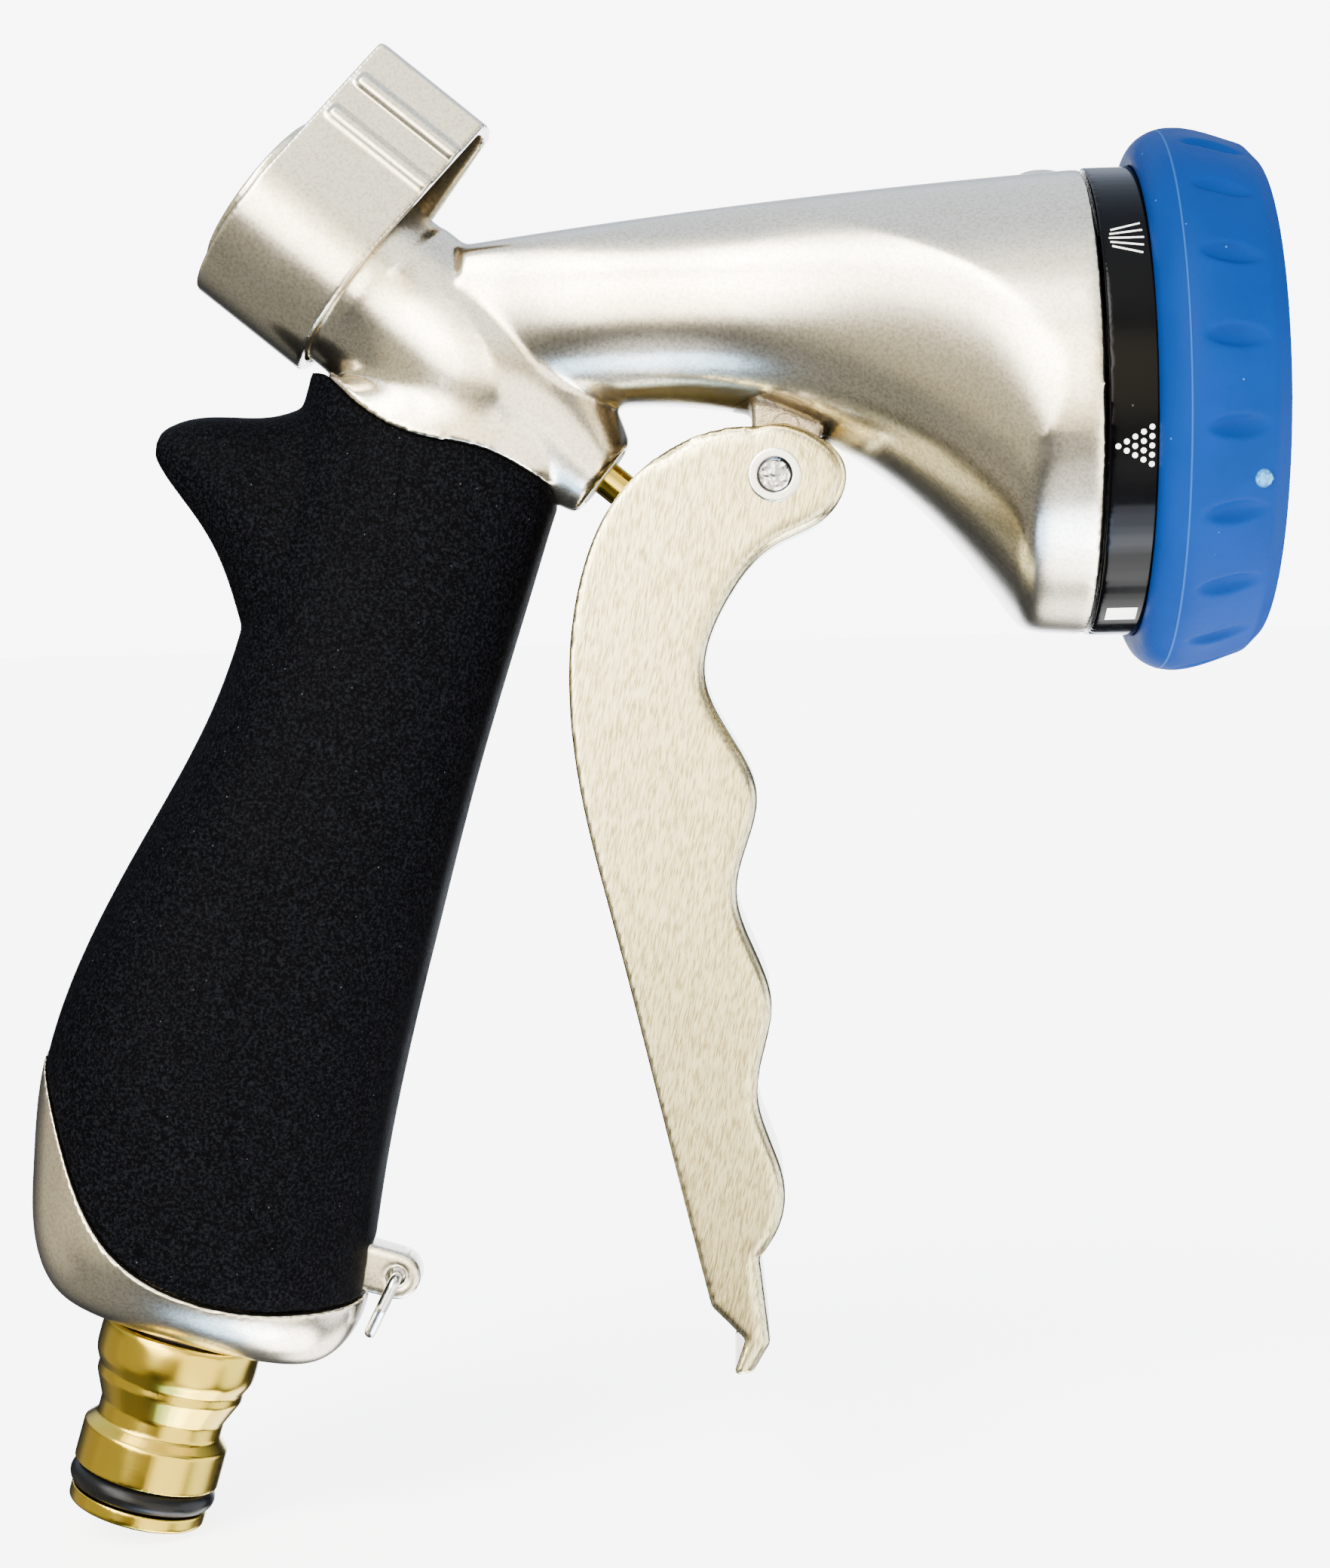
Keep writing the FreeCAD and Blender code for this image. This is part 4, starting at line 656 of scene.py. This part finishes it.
TRIANGLE_LIMIT = 180000


def lean_piece(piece, angle):
    """Turns the piece's mesh about the y axis."""
    only(piece)
    piece.rotation_euler = (0, angle, 0)
    bpy.ops.object.transform_apply(location=False, rotation=True, scale=False)


def soften(node, voxel, repeats, lean=0.0):
    """A copy of a CAD piece with an even skin and rounded edges.

    A leaning piece is stood upright meanwhile, so that its straight edges follow the voxels."""
    piece = copy_node(node, node + "_soft")
    lean_piece(piece, -lean)
    run_modifier(piece, "REMESH", mode="VOXEL", voxel_size=voxel)
    run_modifier(piece, "SMOOTH", factor=0.5, iterations=repeats)
    lean_piece(piece, lean)
    return piece


def close_skin(piece):
    """Thins the skin to the limit and shades it smooth."""
    made = count_triangles(piece)
    if made > TRIANGLE_LIMIT:
        run_modifier(piece, "DECIMATE", ratio=TRIANGLE_LIMIT / made)
    only(piece)
    bpy.ops.object.shade_smooth()
    print(piece.name, "triangles:", made, "kept:", count_triangles(piece))


print("tools ready")

# %% [markdown]
# The body is one die casting. The crease where the roof turns into the flank and the seam
# between neck and barrel are softer than the edges of the lug and the rim, so that region is
# smoothed more often than the rest.

# %% Body casting
RIM_KEPT = 64.4 * MM
LUG_KEPT = (-10 * MM, 10 * MM)

NECK_MIDDLE = (30 * MM, 119 * MM)
NECK_REACH = 14 * MM
COLLAR_START = 15.5 * MM
RUBBER_CLEAR = 0.7 * MM

body_skin = soften("body_casting", 0.34 * MM, 7)
rubber = frame["nodes"]["grip_sleeve"]


def crease_zone(place):
    along = place.x - HEAD.x
    under_lug = LUG_KEPT[0] < place.x - PIVOT.x < LUG_KEPT[1] and place.z < PIVOT.z + 9 * MM
    return -4 * MM < along < RIM_KEPT and not under_lug and place.z > ANCHOR.z - 16 * MM


def lip_zone(place):
    return 48 * MM < place.x - HEAD.x < RIM_KEPT + 0.8 * MM and place.z < HEAD.z - 5 * MM


def neck_zone(place):
    if math.hypot(place.x - NECK_MIDDLE[0], place.z - NECK_MIDDLE[1]) > NECK_REACH:
        return False
    if abs((place - ANCHOR).dot(STEM_WAY)) > COLLAR_START or abs(place.y) < 3 * MM:
        return False
    _, nearest, _, _ = rubber.closest_point_on_mesh(place)
    return (nearest - place).length > RUBBER_CLEAR


def rim_zone(place):
    return place.x - HEAD.x > RIM_KEPT + 1 * MM and math.hypot(place.y, place.z - HEAD.z) > 24 * MM


print("rim vertices:", smooth_where(body_skin, rim_zone, 10))
print("crease vertices:", smooth_where(body_skin, crease_zone, 24))
print("lip vertices:", smooth_where(body_skin, lip_zone, 120))
print("neck vertices:", smooth_where(body_skin, neck_zone, 320))
close_skin(body_skin)
stand_in(body_skin, "body_casting")

# %% Grip, cap, knob and blue ring
KNOB_LEAN = math.atan2(STEM_WAY.x, STEM_WAY.z)

for node, voxel, repeats, lean in (
        ("grip_sleeve", 0.38 * MM, 8, 0.0), ("base_cap", 0.25 * MM, 12, HANDLE_LEAN),
        ("flow_knob", 0.22 * MM, 10, KNOB_LEAN), ("knob_pad", 0.2 * MM, 10, KNOB_LEAN),
        ("grip_ring", 0.28 * MM, 5, 0.0)):
    skin = soften(node, voxel, repeats, lean)
    close_skin(skin)
    stand_in(skin, node)

# %% [markdown]
# Turned and moulded parts get a finer skin, since their edges are crisper.

# %% Plug, drum, face and cap
WAIST = (9.4 * MM, 17.4 * MM)      # from the plug's tip
WAIST_SKIN = 6 * MM                # from the plug's axis
plug_up = -Vector(frame["record"]["mounts"][0]["axis"])
plug_tip = Vector(frame["record"]["mounts"][0]["pos_m"])


def waist_zone(place):
    reach = place - plug_tip
    along = reach.dot(plug_up)
    return WAIST[0] < along < WAIST[1] and (reach - along * plug_up).length > WAIST_SKIN


for node, voxel, repeats, lean in (
        ("hose_plug", 0.17 * MM, 4, HANDLE_LEAN), ("pattern_drum", 0.27 * MM, 8, 0.0),
        ("face_plate", 0.25 * MM, 5, 0.0), ("center_cap", 0.2 * MM, 6, 0.0)):
    skin = soften(node, voxel, repeats, lean)
    if node == "hose_plug":
        print("waist vertices:", smooth_where(skin, waist_zone, 260))
    close_skin(skin)
    stand_in(skin, node)

# %% [markdown]
# ## The lever
# The lever is a pressed channel. Its side plates turn into the finger grooves with a wide
# round, while the back is a cut edge. So the outline's edges are selected by where they are
# and by which way the face next to them looks, and each group gets its own bevel.

# %% Lever
FRONT_ROUND = 1.5 * MM
BACK_ROUND = 0.25 * MM
RIVET_CLEAR = 4.0 * MM
LEVER_VOXEL = 0.36 * MM

lever = copy_node("trigger_lever", "trigger_lever_soft")
bpy.ops.object.mode_set(mode="EDIT")
bpy.ops.mesh.select_all(action="SELECT")
bpy.ops.mesh.dissolve_limited(angle_limit=math.radians(0.05))
bpy.ops.object.mode_set(mode="OBJECT")
side = max(abs(vertex.co.y) for vertex in lever.data.vertices)


def outline_edges(piece, wanted):
    """Edges between a flat side and a face that looks in a wanted direction."""
    faces = {}
    for face in piece.data.polygons:
        for key in face.edge_keys:
            faces.setdefault(key, []).append(face)
    chosen = []
    for edge in piece.data.edges:
        middle = (piece.data.vertices[edge.vertices[0]].co
                  + piece.data.vertices[edge.vertices[1]].co) / 2
        on_side = abs(abs(middle.y) - side) < 0.01 * MM
        at_rivet = math.hypot(middle.x - PIVOT.x, middle.z - PIVOT.z) < RIVET_CLEAR
        flats = [face for face in faces[edge.key] if abs(face.normal.y) > 0.99]
        walls = [face for face in faces[edge.key] if abs(face.normal.y) < 0.3]
        chosen.append(bool(on_side and not at_rivet and flats and walls
                           and wanted(walls[0].normal)))
    return chosen


def bevel_outline(piece, wanted, width, segments):
    only(piece)
    chosen = outline_edges(piece, wanted)
    bpy.ops.object.mode_set(mode="EDIT")
    bpy.ops.mesh.select_mode(type="EDGE")
    bpy.ops.mesh.select_all(action="DESELECT")
    bpy.ops.object.mode_set(mode="OBJECT")
    piece.data.edges.foreach_set("select", chosen)
    bpy.ops.object.mode_set(mode="EDIT")
    bpy.ops.mesh.bevel(offset=width, segments=segments, affect="EDGES", clamp_overlap=False)
    bpy.ops.object.mode_set(mode="OBJECT")
    return sum(chosen)


def looks_ahead(normal):
    return normal.x > 0.05 or (normal.z > 0.75 and normal.x > -0.6)


print("front edges:", bevel_outline(lever, looks_ahead, FRONT_ROUND, 5))
print("back edges:", bevel_outline(lever, lambda normal: not looks_ahead(normal), BACK_ROUND, 2))
run_modifier(lever, "REMESH", mode="VOXEL", voxel_size=LEVER_VOXEL)
run_modifier(lever, "SMOOTH", factor=0.5, iterations=2)
close_skin(lever)
stand_in(lever, "trigger_lever")

# %% [markdown]
# The rivet's end was punched: a bright rolled ring around a recess whose floor is crumpled.

# %% Rivet
RECESS_RADIUS = 1.8 * MM
RECESS_DEPTH = 1.2 * MM
CRUMPLE_SIZE = 0.7 * MM
CRUMPLE = 0.22 * MM

rivet = soften("pivot_rivet", 0.11 * MM, 4)
rivet_end = max(abs(vertex.co.y) for vertex in rivet.data.vertices)
floor_of_recess = rivet.vertex_groups.new(name="crumpled")
floor_of_recess.add([vertex.index for vertex in rivet.data.vertices
                     if math.hypot(vertex.co.x - PIVOT.x, vertex.co.z - PIVOT.z) < RECESS_RADIUS
                     and abs(vertex.co.y) > rivet_end - RECESS_DEPTH], 1.0, "REPLACE")
crumple = bpy.data.textures.new("crumple", "CLOUDS")
crumple.noise_scale = CRUMPLE_SIZE
run_modifier(rivet, "DISPLACE", texture=crumple, texture_coords="LOCAL", strength=CRUMPLE,
             mid_level=0.5, vertex_group="crumpled")
close_skin(rivet)
stand_in(rivet, "pivot_rivet")

# %% [markdown]
# ## Marks on the casting, the ring and the grip
# An ejector pin left a round mark on the rough lug above the lever. The mark is a thin torus
# sunk into the face, found by casting a ray at it.

# %% Ejector mark
MARK_PLACE = PIVOT + Vector((1.3 * MM, 0, 5.3 * MM))
MARK_RADIUS = 1.55 * MM
MARK_SECTION = 0.11 * MM
MARK_RAY = 15 * MM             # start of the ray, beside the lug

bpy.context.view_layer.update()
hit, lug_face, _, _ = body_skin.ray_cast(MARK_PLACE + Vector((0, -MARK_RAY, 0)),
                                         Vector((0, 1, 0)))
bpy.ops.object.select_all(action="DESELECT")
bpy.ops.mesh.primitive_torus_add(location=lug_face, rotation=(math.radians(90), 0, 0),
                                 major_radius=MARK_RADIUS, minor_radius=MARK_SECTION,
                                 major_segments=48, minor_segments=10)
mark = bpy.context.active_object
mark.name = "ejector_mark"
bpy.ops.object.transform_apply(location=True, rotation=True, scale=True)
bpy.ops.object.shade_smooth()
mark.data.materials.append(FINISHES["satin_metal"])
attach(mark, BODY_OF["body_casting"])
print("lug face at y, mm:", round(lug_face.y / MM, 2), "hit:", hit)

# %% [markdown]
# The ring was nicked once, and the torn rubber stands up a little in one of its dents.

# %% Nick in the ring
NICK_ROUGH = 0.7 * MM
NICK_FLAT = 0.3            # height of the torn rubber over its width

ring_skin = bpy.data.objects["grip_ring_soft"]
hit, spot, _, _ = ring_skin.ray_cast(NICK_PLACE, Vector((0, 1, 0)))
bpy.ops.object.select_all(action="DESELECT")
bpy.ops.mesh.primitive_ico_sphere_add(subdivisions=5, radius=NICK_RADIUS, location=spot)
nick = bpy.context.active_object
nick.name = "ring_nick"
nick.scale = (1, NICK_FLAT, 0.8)
bpy.ops.object.transform_apply(location=True, rotation=True, scale=True)
shreds = bpy.data.textures.new("shreds", "CLOUDS")
shreds.noise_scale = NICK_ROUGH
run_modifier(nick, "DISPLACE", texture=shreds, texture_coords="LOCAL", strength=NICK_ROUGH,
             mid_level=0.55)
bpy.ops.object.shade_smooth()
nick.data.materials.append(FINISHES["blue_rubber"])
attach(nick, BODY_OF["grip_ring"])
print("nick hit:", hit, "triangles:", count_triangles(nick))

# %% [markdown]
# The grip was moulded in two halves, and the thin ridge where they met runs down its side. A
# curve in front of the grip is projected onto the rubber, then given a round section.

# %% Mould ridge
RIDGE_RADIUS = 0.09 * MM
RIDGE_START = -30 * MM         # beside the grip, before it is projected
# points: in front of the pivot, above the pivot
RIDGE_LINE = ((-40.7, 4.6), (-42.5, -9.0), (-49.6, -25.6), (-55.9, -40.5), (-60.3, -58.0),
              (-61.1, -72.0), (-58.2, -82.3), (-54.9, -88.3))

path = bpy.data.curves.new("mould_ridge", "CURVE")
path.dimensions = "3D"
path.resolution_u = 24
line = path.splines.new("BEZIER")
line.bezier_points.add(len(RIDGE_LINE) - 1)
for point, (along, up) in zip(line.bezier_points, RIDGE_LINE):
    point.co = (PIVOT.x + along * MM, RIDGE_START, PIVOT.z + up * MM)
    point.handle_left_type = point.handle_right_type = "AUTO"
ridge = bpy.data.objects.new("mould_ridge", path)
bpy.context.collection.objects.link(ridge)
only(ridge)
bpy.ops.object.convert(target="MESH")
sleeve = bpy.data.objects["grip_sleeve_soft"]
run_modifier(ridge, "SHRINKWRAP", target=sleeve, wrap_method="PROJECT", use_project_y=True,
             use_negative_direction=False, use_positive_direction=True)
bpy.ops.object.convert(target="CURVE")
ridge.data.bevel_depth = RIDGE_RADIUS
ridge.data.bevel_resolution = 2
ridge.data.use_fill_caps = True
bpy.ops.object.convert(target="MESH")
bpy.ops.object.shade_smooth()
ridge.data.materials.clear()
ridge.data.materials.append(FINISHES["black_rubber"])
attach(ridge, BODY_OF["grip_sleeve"])
print("ridge triangles:", count_triangles(ridge))

# %% [markdown]
# ## Signs on the dial
# The band carries one small printed sign for each spray pattern. Each sign is drawn flat above
# the top of the band with the x axis along the dial, pressed onto the drum, and turned to its
# place. The signs are pictograms without words.

# %% Signs
SIGN_LIFT = 0.02 * MM
SIGN_THICK = 0.04 * MM
SIGN_PITCH = 360 / 7
SIGN_START = 1.0
SIGN_BEHIND = 2.7 * MM         # middle of a sign, from the back of the drum
SIGN_ABOVE = 1 * MM
drum = bpy.data.objects["pattern_drum_soft"]
drum_back = min(vertex.co.x for vertex in drum.data.vertices)
band_radius = max(math.hypot(vertex.co.y, vertex.co.z - HEAD.z) for vertex in drum.data.vertices)
SIGN_MIDDLE = Vector((drum_back + SIGN_BEHIND, 0, HEAD.z + band_radius + SIGN_ABOVE))


def bar(x, y, length, width, degrees=0.0):
    """A flat bar, placed in mm around the middle of a sign."""
    bpy.ops.mesh.primitive_plane_add(
        size=1, location=SIGN_MIDDLE + Vector((x, y, 0)) * MM,
        rotation=(0, 0, math.radians(degrees)), scale=(1, 1, 1))
    piece = bpy.context.active_object
    piece.scale = (length * MM, width * MM, 1)
    return piece


def dot(x, y, radius):
    bpy.ops.mesh.primitive_circle_add(vertices=20, radius=radius * MM, fill_type="NGON",
                                      location=SIGN_MIDDLE + Vector((x, y, 0)) * MM)
    return bpy.context.active_object


def hoop(x, y, radius, width):
    """A flat ring."""
    piece = dot(x, y, radius)
    bpy.ops.object.mode_set(mode="EDIT")
    bpy.ops.mesh.inset(thickness=width * MM, use_even_offset=True)
    bpy.ops.mesh.delete(type="FACE")
    bpy.ops.object.mode_set(mode="OBJECT")
    return piece


def sign_full():
    return [dot(0.9 * math.cos(a) * k, 0.9 * math.sin(a) * k, 0.3)
            for k, count in ((0.001, 1), (1.0, 6), (1.9, 10))
            for a in [2 * math.pi * i / count for i in range(count)]]


def sign_fan():
    return [bar(0.0, 0.82 * k, 3.7 - 0.2 * abs(k), 0.22, 8.5 * k) for k in (-2, -1, 0, 1, 2)]


def sign_shower():
    return [dot(-1.8 + 0.88 * i, (j - i / 2) * 0.98, 0.3) for i in range(5) for j in range(i + 1)]


def sign_flat():
    return [bar(0.0, 0.0, 3.3, 2.9)]


def sign_cone():
    return [hoop(0.0, 0.0, 1.6, 0.3)]


def sign_jet():
    return [bar(0.0, 0.0, 3.7, 0.4)]


def sign_soaker():
    return [bar(0.0, 0.9 * k, 3.2, 0.3) for k in (-1, 0, 1)]


def press_sign(shapes, number):
    """Joins the shapes, presses them onto the drum and turns them to their place."""
    bpy.ops.object.select_all(action="DESELECT")
    for shape in shapes:
        shape.select_set(True)
    bpy.context.view_layer.objects.active = shapes[0]
    if len(shapes) > 1:
        bpy.ops.object.join()
    sign = bpy.context.active_object
    sign.name = f"sign_{number}"
    bpy.ops.object.transform_apply(location=True, rotation=True, scale=True)
    bpy.ops.object.mode_set(mode="EDIT")
    bpy.ops.mesh.select_all(action="SELECT")
    bpy.ops.mesh.subdivide(number_cuts=2)
    bpy.ops.mesh.quads_convert_to_tris()
    bpy.ops.object.mode_set(mode="OBJECT")
    run_modifier(sign, "SHRINKWRAP", target=drum, wrap_method="PROJECT", use_project_z=True,
                 use_negative_direction=True, use_positive_direction=False,
                 offset=SIGN_LIFT)
    run_modifier(sign, "SOLIDIFY", thickness=SIGN_THICK, offset=1.0)
    bpy.ops.object.mode_set(mode="EDIT")
    bpy.ops.mesh.select_all(action="SELECT")
    bpy.ops.mesh.normals_make_consistent(inside=False)
    bpy.ops.transform.rotate(value=-math.radians(SIGN_START + SIGN_PITCH * number),
                             orient_axis="X", center_override=(HEAD.x, HEAD.y, HEAD.z))
    bpy.ops.object.mode_set(mode="OBJECT")
    sign.data.materials.append(FINISHES["white_nylon"])
    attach(sign, BODY_OF["pattern_drum"])
    return sign


SIGNS = (sign_full, sign_fan, sign_shower, sign_flat, sign_cone, sign_jet, sign_soaker)
for number, draw in enumerate(SIGNS):
    sign = press_sign(draw(), number)
    where = sum((vertex.co for vertex in sign.data.vertices), Vector()) / len(sign.data.vertices)
    print(sign.name, [round(value / MM, 1) for value in where - HEAD])
